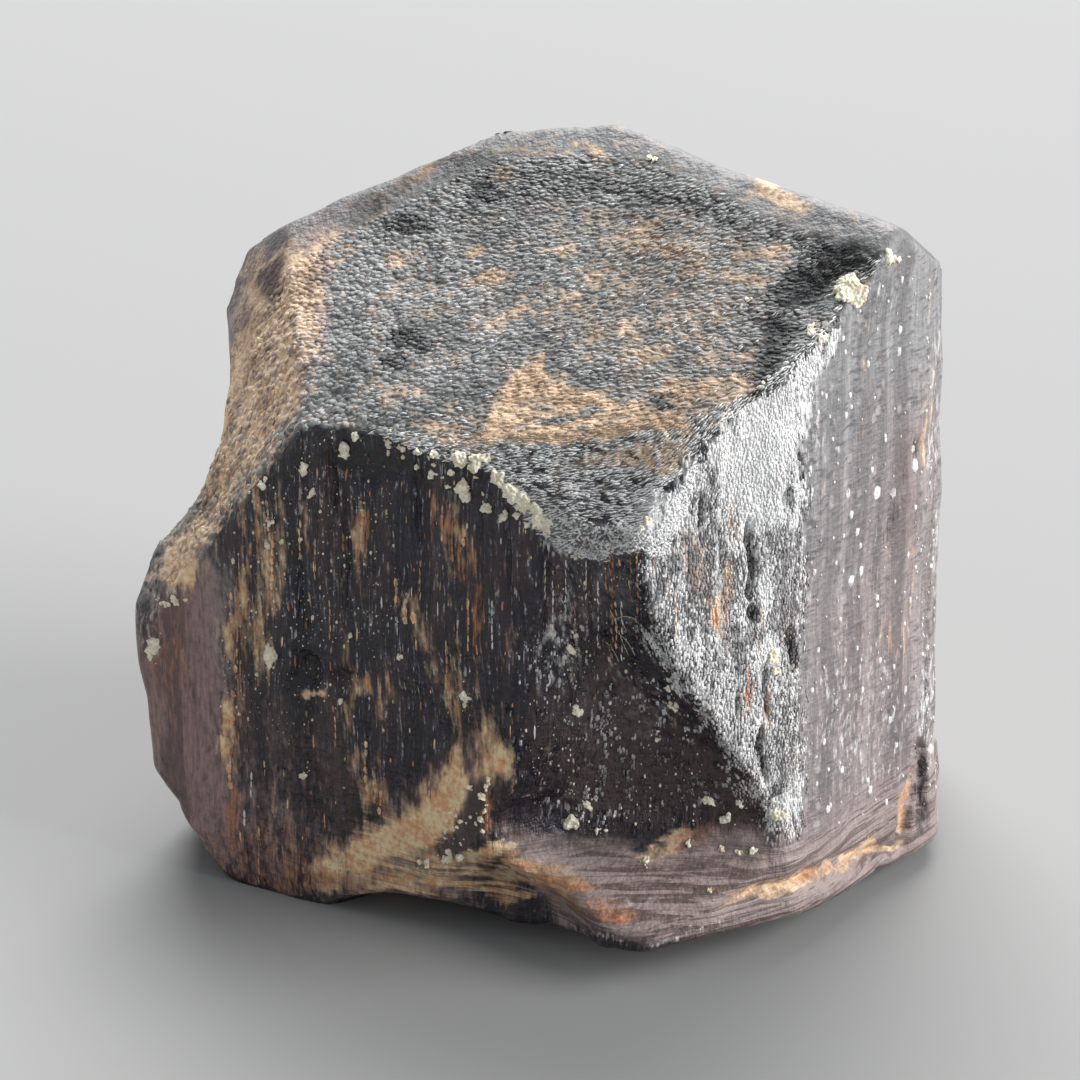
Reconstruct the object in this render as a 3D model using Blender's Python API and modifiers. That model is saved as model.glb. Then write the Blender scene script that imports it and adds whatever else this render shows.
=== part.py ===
"""A short, thick dravite tourmaline crystal that stands on its broken base.

The crystal is one solid. Its long axis is upright, and the corner between its two front prism
faces points at -Y. Plan positions are measured in millimetres from that corner: x to the
right, y to the back, and height from the corner's top end. The last step moves the solid so
that the origin lies under the middle of its box, on the plane that it rests on.
"""
import math

import bmesh
import bpy
from mathutils import Euler, Matrix, Vector, noise

MM = 0.001
SNAP = 0.01

# The prism
REST_DEPTH = 20.3
BELOW_REST = 1.0
PRISM_TOP = 14.0
ARC_STEP = 20.0
PRISM_CORNERS = (
    # x, y, rounding radius: from the front corner round by the right and the back
    (0.0, 0.0, 0.4),
    (6.5, 3.7, 3.0),
    (12.9, 11.9, 1.4),
    (13.3, 22.0, 4.0),
    (6.5, 29.5, 5.0),
    (-3.5, 32.0, 5.0),
    (-12.5, 29.0, 4.0),
    (-16.9, 20.6, 3.5),
    (-21.6, 11.6, 1.6),
)

# Flat faces and flat breaks: a point, the way that the face falls (0 is +X, 90 is +Y) and its
# slope, which is 90 on an upright face and more on one that looks down
FLAT_CUTS = {
    "main_face": ((0.0, 0.0, 2.5), 236.0, 28.0),
    "front_face": ((0.0, 0.0, 0.0), 249.0, 57.0),
    "left_face": ((-12.6, 6.7, 2.5), 199.5, 61.0),
    "right_back_face": ((0.8, 17.9, 10.6), 40.0, 33.0),
    "left_back_face": ((-5.5, 20.4, 9.9), 132.0, 35.0),
    "back_face": ((-2.6, 19.9, 10.3), 86.0, 36.0),
    "left_foot": ((-21.7, 12.0, -14.9), 195.0, 122.0),
    "front_foot": ((0.0, 0.0, -18.3), 290.0, 169.5),
}
CREST_ROUNDING = 1.3
CREST_ANGLE = 12.0
CREST_SEGMENTS = 4
TOP_NORMAL = 0.3
LEAN = 1.2

# The shell-shaped break under the front corner, from top to bottom: height, the x where it
# leaves the left and the right face, and how deep it is hollowed behind the line between them
SCOOP_SECTIONS = (
    (0.5, -4.0, -0.8, -0.4),
    (-0.4, -4.2, -0.2, 0.2),
    (-3.0, -4.3, 0.4, 0.5),
    (-6.0, -4.4, 1.5, 0.8),
    (-9.0, -4.5, 3.1, 1.1),
    (-12.0, -5.2, 4.7, 1.3),
    (-14.0, -6.2, 5.6, 1.4),
    (-15.4, -6.0, 5.4, 1.1),
    (-16.5, -4.2, 4.2, 0.4),
    (-17.5, -1.8, 2.2, 0.0),
    (-18.1, -0.6, 0.8, -0.4),
)
SCOOP_STEPS = 24
SCOOP_OVERRUN = 0.3
SCOOP_FRONT = 5.0

# Hollows: centre, radii and turns about X, Y and Z in degrees
HOLLOWS = {
    "base_hollow": ((-6.3, 0.8, -18.1), (4.9, 3.6, 3.3), (0.0, 12.0, -25.0)),
    "rim_recess": ((-11.6, 4.6, 1.0), (2.8, 2.0, 1.7), (0.0, 0.0, -28.0)),
    "rim_gutter": ((7.4, 6.5, 8.5), (4.4, 1.6, 1.3), (0.0, -30.0, 45.0)),
    "left_hollow": ((-26.8, 16.5, 0.5), (9.9, 14.0, 9.6), (0.0, 0.0, 0.0)),
    "pit": ((-12.3, 6.0, -9.4), (1.0, 0.9, 1.3), (0.0, 0.0, 0.0)),
    "foot_break": ((-9.3, 2.7, -21.2), (6.6, 5.2, 2.8), (0.0, 0.0, -28.0)),
    "back_foot_chip": ((11.5, 34.5, -19.0), (8.5, 9.0, 8.0), (0.0, 0.0, 0.0)),
    "back_top_chip": ((-14.5, 33.5, 1.5), (5.5, 5.0, 4.2), (0.0, 0.0, 30.0)),
}

# Grain of the surface: growth lines on the upright faces, layers on the broken foot, and low
# lumps all over
STRIA_PITCH = 1.3
STRIA_LENGTH = 33.0
STRIA_DEPTH = 0.13
LAYER_PITCH = 0.9
LAYER_LENGTH = 8.0
LAYER_DEPTH = 0.14
LAYERED_FOOT = (2.5, 5.0)
LUMP_PITCH = 4.0
LUMP_HEIGHT = 0.2

# The plate at the foot of the right face: a crevice along its top, and a lip below it
CREVICE_HEIGHT = -17.0
CREVICE_DEPTH = 0.5
CREVICE_WIDTH = 0.3
LIP_HEIGHT = 0.3

# Mesh
VOXEL = 0.32
TRIANGLES = 9000

COLOUR = (0.022, 0.019, 0.018, 1.0)
ROUGHNESS = 0.42


def clear_scene():
    for obj in list(bpy.data.objects):
        bpy.data.objects.remove(obj, do_unlink=True)


def new_collection(name):
    collection = bpy.data.collections.new(name)
    bpy.context.scene.collection.children.link(collection)
    return collection


def rounded_outline(corners):
    """The plan outline in metres, with an arc of short chords at each corner."""
    points = []
    count = len(corners)
    for index, (x, y, radius) in enumerate(corners):
        here = Vector((x, y))
        before = (Vector(corners[index - 1][:2]) - here).normalized()
        after = (Vector(corners[(index + 1) % count][:2]) - here).normalized()
        half = before.angle(after) / 2
        centre = here + (before + after).normalized() * radius / math.sin(half)
        start = here + before * radius / math.tan(half) - centre
        turn = math.pi - 2 * half
        chords = max(1, round(math.degrees(turn) / ARC_STEP))
        for step in range(chords + 1):
            point = centre + Matrix.Rotation(turn * step / chords, 2) @ start
            points.append(point * MM)
    return points


def prism(collection):
    """The rounded trigonal prism, as a filled outline with height."""
    curve = bpy.data.curves.new("prism_outline", "CURVE")
    curve.dimensions = "2D"
    curve.fill_mode = "BOTH"
    height = (PRISM_TOP + REST_DEPTH + BELOW_REST) * MM
    curve.extrude = height / 2
    outline = rounded_outline(PRISM_CORNERS)
    spline = curve.splines.new("POLY")
    spline.points.add(len(outline) - 1)
    for point, (x, y) in zip(spline.points, outline):
        point.co = (x, y, 0.0, 1.0)
    spline.use_cyclic_u = True
    guide = bpy.data.objects.new("prism_outline", curve)
    collection.objects.link(guide)
    bpy.context.view_layer.update()
    graph = bpy.context.evaluated_depsgraph_get()
    mesh = bpy.data.meshes.new_from_object(guide.evaluated_get(graph))
    bpy.data.objects.remove(guide, do_unlink=True)
    middle = PRISM_TOP * MM - height / 2
    mesh.transform(Matrix.Translation((0.0, 0.0, middle)))
    bm = bmesh.new()
    bm.from_mesh(mesh)
    bmesh.ops.remove_doubles(bm, verts=bm.verts, dist=1e-6)
    bmesh.ops.recalc_face_normals(bm, faces=bm.faces)
    bm.to_mesh(mesh)
    bm.free()
    body = bpy.data.objects.new("dravite_crystal", mesh)
    collection.objects.link(body)
    return body


def cut_flat(bm, point, normal):
    """Takes away what lies on the normal's side of a plane, and closes the cut with one face."""
    parts = bm.verts[:] + bm.edges[:] + bm.faces[:]
    bmesh.ops.bisect_plane(
        bm, geom=parts, dist=SNAP * MM, plane_co=point, plane_no=normal, clear_outer=True
    )
    rim = [edge for edge in bm.edges if edge.is_boundary]
    bmesh.ops.holes_fill(bm, edges=rim, sides=0)


def face_normal(fall, slope):
    fall = math.radians(fall)
    slope = math.radians(slope)
    flat = math.sin(slope)
    return Vector((flat * math.cos(fall), flat * math.sin(fall), math.cos(slope)))


def cut_faces(body):
    bm = bmesh.new()
    bm.from_mesh(body.data)
    for point, fall, slope in FLAT_CUTS.values():
        cut_flat(bm, Vector(point) * MM, face_normal(fall, slope))
    bmesh.ops.recalc_face_normals(bm, faces=bm.faces)
    bm.to_mesh(body.data)
    bm.free()


def round_crests(body):
    """Rounds the edges where two faces of the top meet."""
    bm = bmesh.new()
    bm.from_mesh(body.data)
    crests = []
    for edge in bm.edges:
        tops = [face for face in edge.link_faces if face.normal.z > TOP_NORMAL]
        if len(tops) == 2 and edge.calc_face_angle() > math.radians(CREST_ANGLE):
            crests.append(edge)
    bmesh.ops.bevel(
        bm,
        geom=crests,
        offset=CREST_ROUNDING * MM,
        segments=CREST_SEGMENTS,
        profile=0.5,
        affect="EDGES",
        clamp_overlap=True,
    )
    bm.to_mesh(body.data)
    bm.free()


def add_cutter(collection, name, bm):
    mesh = bpy.data.meshes.new(name)
    bmesh.ops.recalc_face_normals(bm, faces=bm.faces)
    bm.to_mesh(mesh)
    bm.free()
    cutter = bpy.data.objects.new(name, mesh)
    cutter.hide_render = True
    cutter.display_type = "WIRE"
    collection.objects.link(cutter)
    return cutter


def scoop_section(height, left, right, depth):
    """One level of the scoop: a shallow curve across the corner, closed in front of it."""
    left_end = Vector((left, left * PRISM_CORNERS[-1][1] / PRISM_CORNERS[-1][0]))
    right_end = Vector((right, right * PRISM_CORNERS[1][1] / PRISM_CORNERS[1][0]))
    chord = right_end - left_end
    inward = Vector((-chord.y, chord.x)).normalized()
    points = []
    for index in range(SCOOP_STEPS + 1):
        share = -SCOOP_OVERRUN + (1.0 + 2.0 * SCOOP_OVERRUN) * index / SCOOP_STEPS
        bow = 4.0 * share * (1.0 - share)
        points.append(left_end + chord * share + inward * depth * bow)
    points.append(points[-1] - inward * SCOOP_FRONT)
    points.append(points[0] - inward * SCOOP_FRONT)
    return [Vector((point.x, point.y, height)) * MM for point in points]


def scoop_cutter(collection):
    """A loft through the scoop's levels."""
    bm = bmesh.new()
    rings = []
    for section in SCOOP_SECTIONS:
        verts = [bm.verts.new(point) for point in scoop_section(*section)]
        rings.append([bm.edges.new((verts[i - 1], verts[i])) for i in range(len(verts))])
    for above, below in zip(rings, rings[1:]):
        bmesh.ops.bridge_loops(bm, edges=above + below)
    bmesh.ops.holes_fill(bm, edges=rings[0] + rings[-1], sides=0)
    return add_cutter(collection, "scoop", bm)


def hollow_cutter(collection, name, centre, radii, turns):
    bm = bmesh.new()
    bmesh.ops.create_icosphere(bm, subdivisions=4, radius=1.0)
    size = Matrix.Diagonal([radius * MM for radius in radii]).to_4x4()
    turn = Euler([math.radians(angle) for angle in turns]).to_matrix().to_4x4()
    place = Matrix.Translation(Vector(centre) * MM) @ turn @ size
    bmesh.ops.transform(bm, matrix=place, verts=bm.verts)
    return add_cutter(collection, name, bm)


def apply_modifiers(obj):
    """Replaces the object's mesh with the one that its modifiers make."""
    bpy.context.view_layer.update()
    graph = bpy.context.evaluated_depsgraph_get()
    mesh = bpy.data.meshes.new_from_object(obj.evaluated_get(graph))
    obj.modifiers.clear()
    obj.data = mesh


def cut_hollows(body, cutters):
    for cutter in cutters:
        cut = body.modifiers.new(cutter.name, "BOOLEAN")
        cut.operation = "DIFFERENCE"
        cut.object = cutter
    apply_modifiers(body)


def lean_over(body):
    """The prism leans to the right going down."""
    body.data.transform(Matrix.Shear("XY", 4, (-math.tan(math.radians(LEAN)), 0.0)))


def even_mesh(body):
    """An even fine mesh of the same form, with worn edges."""
    remesh = body.modifiers.new("even", "REMESH")
    remesh.mode = "VOXEL"
    remesh.voxel_size = VOXEL * MM
    worn = body.modifiers.new("worn", "SMOOTH")
    worn.factor = 0.5
    worn.iterations = 2
    apply_modifiers(body)


def step(low, high, value):
    """0 below low, 1 above high, and a smooth rise between them."""
    share = min(max((value - low) / (high - low), 0.0), 1.0)
    return share * share * (3.0 - 2.0 * share)


def foot_lip(x, y, z):
    """Height of the foot's plate: its crevice dips, rises at the edge and falls on the right."""
    top = CREVICE_HEIGHT - 1.4 * step(7.0, 11.0, x) + 2.9 * step(11.6, 12.4, x)
    top -= 3.6 * step(14.0, 20.0, y)
    crevice = math.exp(-(((z - top) / CREVICE_WIDTH) ** 2))
    lip = 1.0 - step(top - 0.5, top, z)
    shown = step(1.5, 4.0, x) * (1.0 - step(16.0, 21.0, y))
    return shown * (LIP_HEIGHT * lip - CREVICE_DEPTH * crevice)


def relief(place, normal):
    """Height of the surface's grain at a point, in millimetres along its normal."""
    x, y, z = place
    upright = 1.0 - step(0.25, 0.6, abs(normal.z))
    broken = 1.0 - step(*LAYERED_FOOT, z + REST_DEPTH)
    line = Vector((x / STRIA_PITCH, y / STRIA_PITCH, z / STRIA_LENGTH))
    stria = noise.noise(line) + 0.7 * noise.noise(line * 2.3 + Vector((7.0, 0.0, 0.0)))
    layer = Vector((x / LAYER_LENGTH, y / LAYER_LENGTH, z / LAYER_PITCH))
    layers = noise.noise(layer) + 0.5 * noise.noise(layer * 2.0 + Vector((5.0, 0.0, 0.0)))
    lumps = noise.noise((x / LUMP_PITCH, y / LUMP_PITCH, z / LUMP_PITCH + 3.0))
    height = LUMP_HEIGHT * lumps + LAYER_DEPTH * layers * broken
    height += STRIA_DEPTH * stria * upright * (1.0 - 0.7 * broken)
    return height + foot_lip(x, y, z) * step(0.1, 0.4, normal.x)


def carve_relief(body):
    bm = bmesh.new()
    bm.from_mesh(body.data)
    for vert in bm.verts:
        vert.co += vert.normal * relief(vert.co / MM, vert.normal) * MM
    bm.to_mesh(body.data)
    bm.free()


def thin_mesh(body):
    """Brings the triangles down to the count that the form needs."""
    body.data.calc_loop_triangles()
    thin = body.modifiers.new("thin", "DECIMATE")
    thin.ratio = TRIANGLES / len(body.data.loop_triangles)
    apply_modifiers(body)


def flatten_base(body):
    """The flat patch that the crystal rests on, then the origin under the middle of the box."""
    bm = bmesh.new()
    bm.from_mesh(body.data)
    floor = -REST_DEPTH * MM
    cut_flat(bm, Vector((0.0, 0.0, floor)), Vector((0.0, 0.0, -1.0)))
    for vert in bm.verts:
        if vert.co.z < floor + 2.0 * SNAP * MM:
            vert.co.z = floor
    bmesh.ops.triangulate(bm, faces=bm.faces)
    xs = [vert.co.x for vert in bm.verts]
    ys = [vert.co.y for vert in bm.verts]
    middle = Vector(((min(xs) + max(xs)) / 2, (min(ys) + max(ys)) / 2, floor))
    bmesh.ops.translate(bm, verts=bm.verts, vec=-middle)
    bm.to_mesh(body.data)
    bm.free()


def crystal_material():
    material = bpy.data.materials.new("dravite")
    material.use_nodes = True
    shader = material.node_tree.nodes["Principled BSDF"]
    shader.inputs["Base Color"].default_value = COLOUR
    shader.inputs["Roughness"].default_value = ROUGHNESS
    return material


def build():
    clear_scene()
    crystal = new_collection("dravite_tourmaline")
    cutters = new_collection("cutters")
    body = prism(crystal)
    cut_faces(body)
    hollows = [scoop_cutter(cutters)]
    for name, (centre, radii, turns) in HOLLOWS.items():
        hollows.append(hollow_cutter(cutters, name, centre, radii, turns))
    cut_hollows(body, hollows)
    round_crests(body)
    lean_over(body)
    even_mesh(body)
    carve_relief(body)
    thin_mesh(body)
    flatten_base(body)
    body.data.materials.append(crystal_material())


build()
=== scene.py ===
"""A dravite tourmaline crystal on a pale table, seen from above its front corner.

Lengths are in metres, and the crystal stands in the frame of its CAD solid: +Z up, the front
corner towards -Y, and the origin under the middle of the base.
"""
import math

import bpy
import numpy as np
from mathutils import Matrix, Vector


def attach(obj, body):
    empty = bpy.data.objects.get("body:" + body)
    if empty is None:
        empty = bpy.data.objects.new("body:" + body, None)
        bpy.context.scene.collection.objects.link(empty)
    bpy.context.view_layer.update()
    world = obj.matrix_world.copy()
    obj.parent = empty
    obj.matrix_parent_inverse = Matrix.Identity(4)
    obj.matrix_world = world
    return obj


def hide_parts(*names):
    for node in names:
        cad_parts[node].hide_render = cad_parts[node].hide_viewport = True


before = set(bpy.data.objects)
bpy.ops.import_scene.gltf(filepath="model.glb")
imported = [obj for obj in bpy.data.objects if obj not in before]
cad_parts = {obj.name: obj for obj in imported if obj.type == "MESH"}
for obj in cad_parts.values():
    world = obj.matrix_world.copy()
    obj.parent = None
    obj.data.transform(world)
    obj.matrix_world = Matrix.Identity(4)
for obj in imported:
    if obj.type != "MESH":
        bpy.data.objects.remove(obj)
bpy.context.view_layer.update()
MM = 0.001


# Camera: a close-up, from 13 cm in front of the crystal's front corner and 24 degrees above it.
# Marks on the crystal are placed by where this view shows them, in pixels of a frame 1080 wide
# and 1080 high, and each one then lies on the surface that is seen there.
FRAME_SIDE = 1080
FOCAL_PIXELS = 3400.0
LOOK_DOWN = math.radians(24.0)
CORNER_TOP = Vector((0.0035704, -0.0159771, 0.0203))
CORNER_DISTANCE = 0.130
CORNER_RIGHT_OF_MIDDLE = 100.0

ahead = Vector((0.0, math.cos(LOOK_DOWN), -math.sin(LOOK_DOWN)))
right = Vector((1.0, 0.0, 0.0))
upward = Vector((0.0, math.sin(LOOK_DOWN), math.cos(LOOK_DOWN)))
eye = CORNER_TOP - ahead * CORNER_DISTANCE
eye -= right * CORNER_RIGHT_OF_MIDDLE / FOCAL_PIXELS * CORNER_DISTANCE

bpy.ops.object.camera_add(location=eye, rotation=(math.radians(90.0) - LOOK_DOWN, 0.0, 0.0))
camera = bpy.context.object
camera.name = "close_up"
camera.data.sensor_width = 36.0
camera.data.lens = camera.data.sensor_width * FOCAL_PIXELS / FRAME_SIDE
camera.data.clip_start = 0.001
bpy.context.scene.camera = camera


def seen_at(points):
    """Pixel columns and rows of points, given as an array of x, y and z."""
    offset = points - np.array(eye)
    depth = offset @ np.array(ahead)
    columns = FRAME_SIDE / 2 + FOCAL_PIXELS * (offset @ np.array(right)) / depth
    rows = FRAME_SIDE / 2 - FOCAL_PIXELS * (offset @ np.array(upward)) / depth
    return columns, rows


def ray_through(column, row):
    """Direction of the line of sight through a pixel."""
    across = (column - FRAME_SIDE / 2) / FOCAL_PIXELS
    down = (row - FRAME_SIDE / 2) / FOCAL_PIXELS
    return (ahead + right * across - upward * down).normalized()


# Crystal: one piece of black-brown tourmaline, grown as upright prism faces under low end faces.
# Growth left fine upright lines on the prism, a scaly skin on the end faces, and the base is a
# break across the prism, in thin curved layers.
SKIN_VOXEL = 0.14 * MM
SKIN_TRIANGLES = 192000


def pick(piece):
    """Selects this piece alone and makes it the active one."""
    bpy.ops.object.select_all(action="DESELECT")
    piece.select_set(True)
    bpy.context.view_layer.objects.active = piece


def finish_modifier(piece, kind, name, **settings):
    """Adds a modifier with these settings and applies it."""
    pick(piece)
    modifier = piece.modifiers.new(name, kind)
    for setting, value in settings.items():
        setattr(modifier, setting, value)
    bpy.ops.object.modifier_apply(modifier=name)


def corner_places(piece):
    """The places of a piece's corners, one row each."""
    places = np.empty(len(piece.data.vertices) * 3, np.float32)
    piece.data.vertices.foreach_get("co", places)
    return places.reshape(-1, 3).astype(float)


def corner_normals(piece):
    """The surface normals at a piece's corners, one row each."""
    normals = np.empty(len(piece.data.vertices) * 3, np.float32)
    piece.data.vertex_normals.foreach_get("vector", normals)
    return normals.reshape(-1, 3).astype(float)


def move_corners(piece, places):
    piece.data.vertices.foreach_set("co", places.astype(np.float32).ravel())
    piece.data.update()


def rise(low, high, values):
    """0 below low, 1 above high and a smooth rise between them."""
    share = np.clip((values - low) / (high - low), 0.0, 1.0)
    return share * share * (3.0 - 2.0 * share)


def scatter(columns, rows, layers, seed):
    """A fixed random number from 0 to 1 for each cell of a grid."""
    mixed = columns * 73856093 + rows * 19349663 + layers * 83492791 + seed * 2654435761
    mixed = (mixed ^ (mixed >> 13)) * 1274126177 & 0xFFFFFFFF
    mixed = (mixed ^ (mixed >> 15)) * 2246822519 & 0xFFFFFFFF
    return (mixed ^ (mixed >> 16) & 0xFFFFFF) % 16777216 / 16777216


def waves(points, seed=0):
    """Smooth random waves from -1 to 1, about one unit long."""
    cell = np.floor(points).astype(np.int64)
    inside = points - cell
    inside = inside * inside * (3.0 - 2.0 * inside)
    total = np.zeros(len(points))
    for corner in range(8):
        step = np.array([corner & 1, corner >> 1 & 1, corner >> 2 & 1])
        weight = np.prod(np.where(step, inside, 1.0 - inside), axis=1)
        total += weight * scatter(*(cell + step).T, seed)
    return total * 2.0 - 1.0


def grains(points, seed=0):
    """Packed grains about one unit wide: the distance to the nearest middle, and how much
    farther the next one is."""
    cell = np.floor(points).astype(np.int64)
    nearest = np.full(len(points), 9.0)
    second = np.full(len(points), 9.0)
    for index in range(27):
        here = cell + np.array([index % 3 - 1, index // 3 % 3 - 1, index // 9 - 1])
        middle = here + np.stack([scatter(*here.T, seed + 7 * axis) for axis in range(3)], 1)
        away = np.linalg.norm(points - middle, axis=1)
        second = np.where(away < nearest, nearest, np.minimum(second, away))
        nearest = np.minimum(nearest, away)
    return nearest, second - nearest


FISSURES = (
    # column, row, half width and half height in pixels, turn in degrees, depth in millimetres
    (748, 536, 3.5, 14, 4, 0.5), (752, 562, 4, 18, -3, 0.55), (749, 586, 3.5, 12, 5, 0.5),
    (753, 612, 5, 9, 0, 0.45), (788, 640, 4, 12, 6, 0.45), (792, 660, 4, 12, -6, 0.45),
    (763, 682, 3, 16, 0, 0.35), (767, 706, 3, 14, -4, 0.3), (758, 742, 4, 14, 8, 0.45),
    (763, 768, 4, 12, -5, 0.4), (785, 500, 4, 12, 8, 0.35), (799, 468, 3, 16, 0, 0.3),
    (722, 552, 2.5, 24, 0, 0.2), (700, 520, 2.5, 26, 0, 0.18), (736, 700, 2.5, 18, 0, 0.2),
    (921, 765, 4, 22, 0, 0.4), (923, 800, 4, 20, 5, 0.4), (508, 560, 3, 40, 0, 0.2),
    (545, 600, 3, 50, 0, 0.22), (590, 590, 3, 46, 0, 0.22), (345, 560, 4, 60, 0, 0.22),
    (330, 480, 5, 30, 0, 0.25), (418, 500, 4, 40, 0, 0.25), (300, 590, 3, 40, 0, 0.18),
    (480, 560, 3, 60, 0, 0.15), (888, 520, 5, 20, 0, 0.06), (915, 448, 5, 12, 0, 0.08),
)
# The pit's middle and radius are in pixels, its depth and the height of its rim in millimetres.
PIT_PLACE = (310, 668)
PIT_RADIUS = 21
PIT_DEPTH = 0.22
PIT_RIM_HEIGHT = 0.16
# The right-hand face, which is smoother than the others, begins at this column of pixels.
SMOOTH_FACE_COLUMN = 802
SWELLS = (
    # length and height in millimetres, seed
    (3.4, 0.13, 1), (1.1, 0.05, 2),
)
RIBS = (
    # width, length and height in millimetres, seed
    (1.5, 30, 0.09, 3), (0.7, 18, 0.07, 4), (0.36, 9, 0.05, 5),
)
LAYERS = (
    # thickness, length and height in millimetres, seed
    (0.9, 9, 0.1, 6), (0.4, 5, 0.06, 7),
)
PEBBLE_WIDTH = 0.62
PEBBLE_HEIGHT = 0.08


def faces_camera(normals):
    """1 where the surface faces the close-up's camera, 0 where it is turned away."""
    return rise(-0.12, 0.02, -(normals @ np.array(ahead)))


def wandering(places, reach):
    """Where the close-up shows each point, strayed by up to about this many pixels."""
    columns, rows = seen_at(places)
    for size, share, seed in ((1.6, 1.0, 41), (0.5, 0.5, 42)):
        columns = columns + reach * share * waves(places / MM / size, seed)
        rows = rows + reach * share * waves(places / MM / size, seed + 5)
    return columns, rows


def brushed(places, normals, marks, stray=5.0):
    """How strongly soft oval marks cover each point, from 0 to 1."""
    columns, rows = wandering(places, stray)
    cover = np.zeros(len(places))
    for column, row, half_width, half_height, turn, strength in marks:
        turn = math.radians(turn)
        across = (columns - column) * math.cos(turn) + (rows - row) * math.sin(turn)
        along = (rows - row) * math.cos(turn) - (columns - column) * math.sin(turn)
        away = np.hypot(across / half_width, along / half_height)
        cover = np.maximum(cover, strength * (1.0 - rise(0.35, 1.6, away)))
    return cover * faces_camera(normals)


def outlined(places, normals, areas, stray=0.0):
    """How strongly areas drawn by their outlines cover each point, from 0 to 1."""
    columns, rows = wandering(places, stray)
    cover = np.zeros(len(places))
    for outline, softness, strength in areas:
        edge = np.full(len(places), 1e9)
        inside = np.zeros(len(places), bool)
        for (x0, y0), (x1, y1) in zip(outline, outline[1:] + outline[:1]):
            length = math.hypot(x1 - x0, y1 - y0)
            share = ((columns - x0) * (x1 - x0) + (rows - y0) * (y1 - y0)) / length**2
            share = np.clip(share, 0.0, 1.0)
            away = np.hypot(columns - x0 - share * (x1 - x0), rows - y0 - share * (y1 - y0))
            edge = np.minimum(edge, away)
            crossing = (y0 > rows) != (y1 > rows)
            level = x0 + (rows - y0) * (x1 - x0) / (y1 - y0 if y1 != y0 else 1e-9)
            inside ^= crossing & (columns < level)
        signed = np.where(inside, edge, -edge)
        cover = np.maximum(cover, strength * rise(-softness, softness, signed))
    return cover * faces_camera(normals)


PRISM_FACES_SEEN = (
    # outline in pixels, softness of its edge in pixels, share covered; these carry no scales
    (((100, 606), (160, 606), (204, 560), (228, 512), (264, 472), (288, 440), (316, 424),
      (352, 432), (400, 457), (470, 464), (530, 512), (600, 552), (655, 556), (704, 442),
      (762, 404), (830, 324), (850, 294), (900, 247), (980, 200), (980, 1000),
      (100, 1000)), 3, 1.0),
)
FRONT_RIM = (
    # the rough lip over the break at the front corner
    (((486, 462), (530, 492), (590, 520), (660, 530), (700, 452), (690, 500), (664, 562),
      (640, 552), (600, 556), (560, 546), (528, 520), (500, 484)), 4, 1.0),
)
BACK_BAND = (
    # the smooth band along the far edge of the end face
    (((205, 330), (225, 250), (280, 200), (380, 165), (480, 115), (610, 105), (700, 125),
      (860, 205), (960, 240), (925, 276), (860, 256), (760, 216), (690, 178), (610, 152),
      (500, 160), (420, 196), (340, 236), (286, 270), (256, 330), (236, 420)), 5, 1.0),
)


crystal_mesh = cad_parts["dravite_crystal"].data.copy()
crystal = bpy.data.objects.new("crystal_skin", crystal_mesh)
bpy.context.collection.objects.link(crystal)
pick(crystal)
bpy.ops.object.mode_set(mode="EDIT")
bpy.ops.mesh.select_all(action="SELECT")
bpy.ops.mesh.remove_doubles(threshold=1e-6)
bpy.ops.object.mode_set(mode="OBJECT")
finish_modifier(crystal, "REMESH", "even", mode="VOXEL", voxel_size=SKIN_VOXEL)
finish_modifier(crystal, "SMOOTH", "worn", factor=0.5, iterations=6)

places = corner_places(crystal)
normals = corner_normals(crystal)
millimetres = places / MM
columns, rows = seen_at(places)
steep = 1.0 - rise(0.22, 0.42, np.abs(normals[:, 2]))
top = rise(0.3, 0.5, normals[:, 2]) * rise(6.0, 12.0, millimetres[:, 2])
broken = rise(0.15, 0.5, -normals[:, 2]) + (1.0 - rise(2.0, 6.0, millimetres[:, 2]))
broken = np.clip(broken, 0.0, 1.0)
satin = rise(-6.0, 6.0, columns - SMOOTH_FACE_COLUMN) * faces_camera(normals)

relief = sum(height * waves(millimetres / length, seed) for length, height, seed in SWELLS)
for width, length, height, seed in RIBS:
    lines = millimetres / np.array([width, width, length])
    relief += height * waves(lines, seed) * steep * (1.0 - 0.8 * broken) * (1.0 - 0.55 * satin)
bent = millimetres + 0.5 * waves(millimetres / 6.0, 8)[:, None]
for thickness, length, height, seed in LAYERS:
    layers = bent / np.array([length, length, thickness])
    relief += height * waves(layers, seed) * broken
_, gap = grains(millimetres / PEBBLE_WIDTH, 9)
pebbles = PEBBLE_HEIGHT * rise(0.0, 0.35, gap) - PEBBLE_HEIGHT / 2
relief += pebbles * top * (1.0 - 0.85 * outlined(places, normals, BACK_BAND, 4.0))
relief -= brushed(places, normals, FISSURES, 1.5)
pit = np.hypot(columns - PIT_PLACE[0], rows - PIT_PLACE[1]) / PIT_RADIUS
pit += 0.3 * waves(millimetres / 0.7, 45)
pit_rim = PIT_RIM_HEIGHT * np.exp(-((pit - 1.1) / 0.3) ** 2)
pit_floor = PIT_DEPTH * (1.0 - rise(0.2, 1.0, pit))
relief += (pit_rim - pit_floor) * faces_camera(normals)
places += normals * relief[:, None] * MM
resting = corner_places(crystal)[:, 2] < 0.05 * MM
places[:, 2] = np.where(resting, 0.0, np.maximum(places[:, 2], 0.0))
move_corners(crystal, places)
crystal.data.calc_loop_triangles()
share = SKIN_TRIANGLES / len(crystal.data.loop_triangles)
finish_modifier(crystal, "DECIMATE", "thin", ratio=share)
pick(crystal)
bpy.ops.object.shade_smooth()
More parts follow.
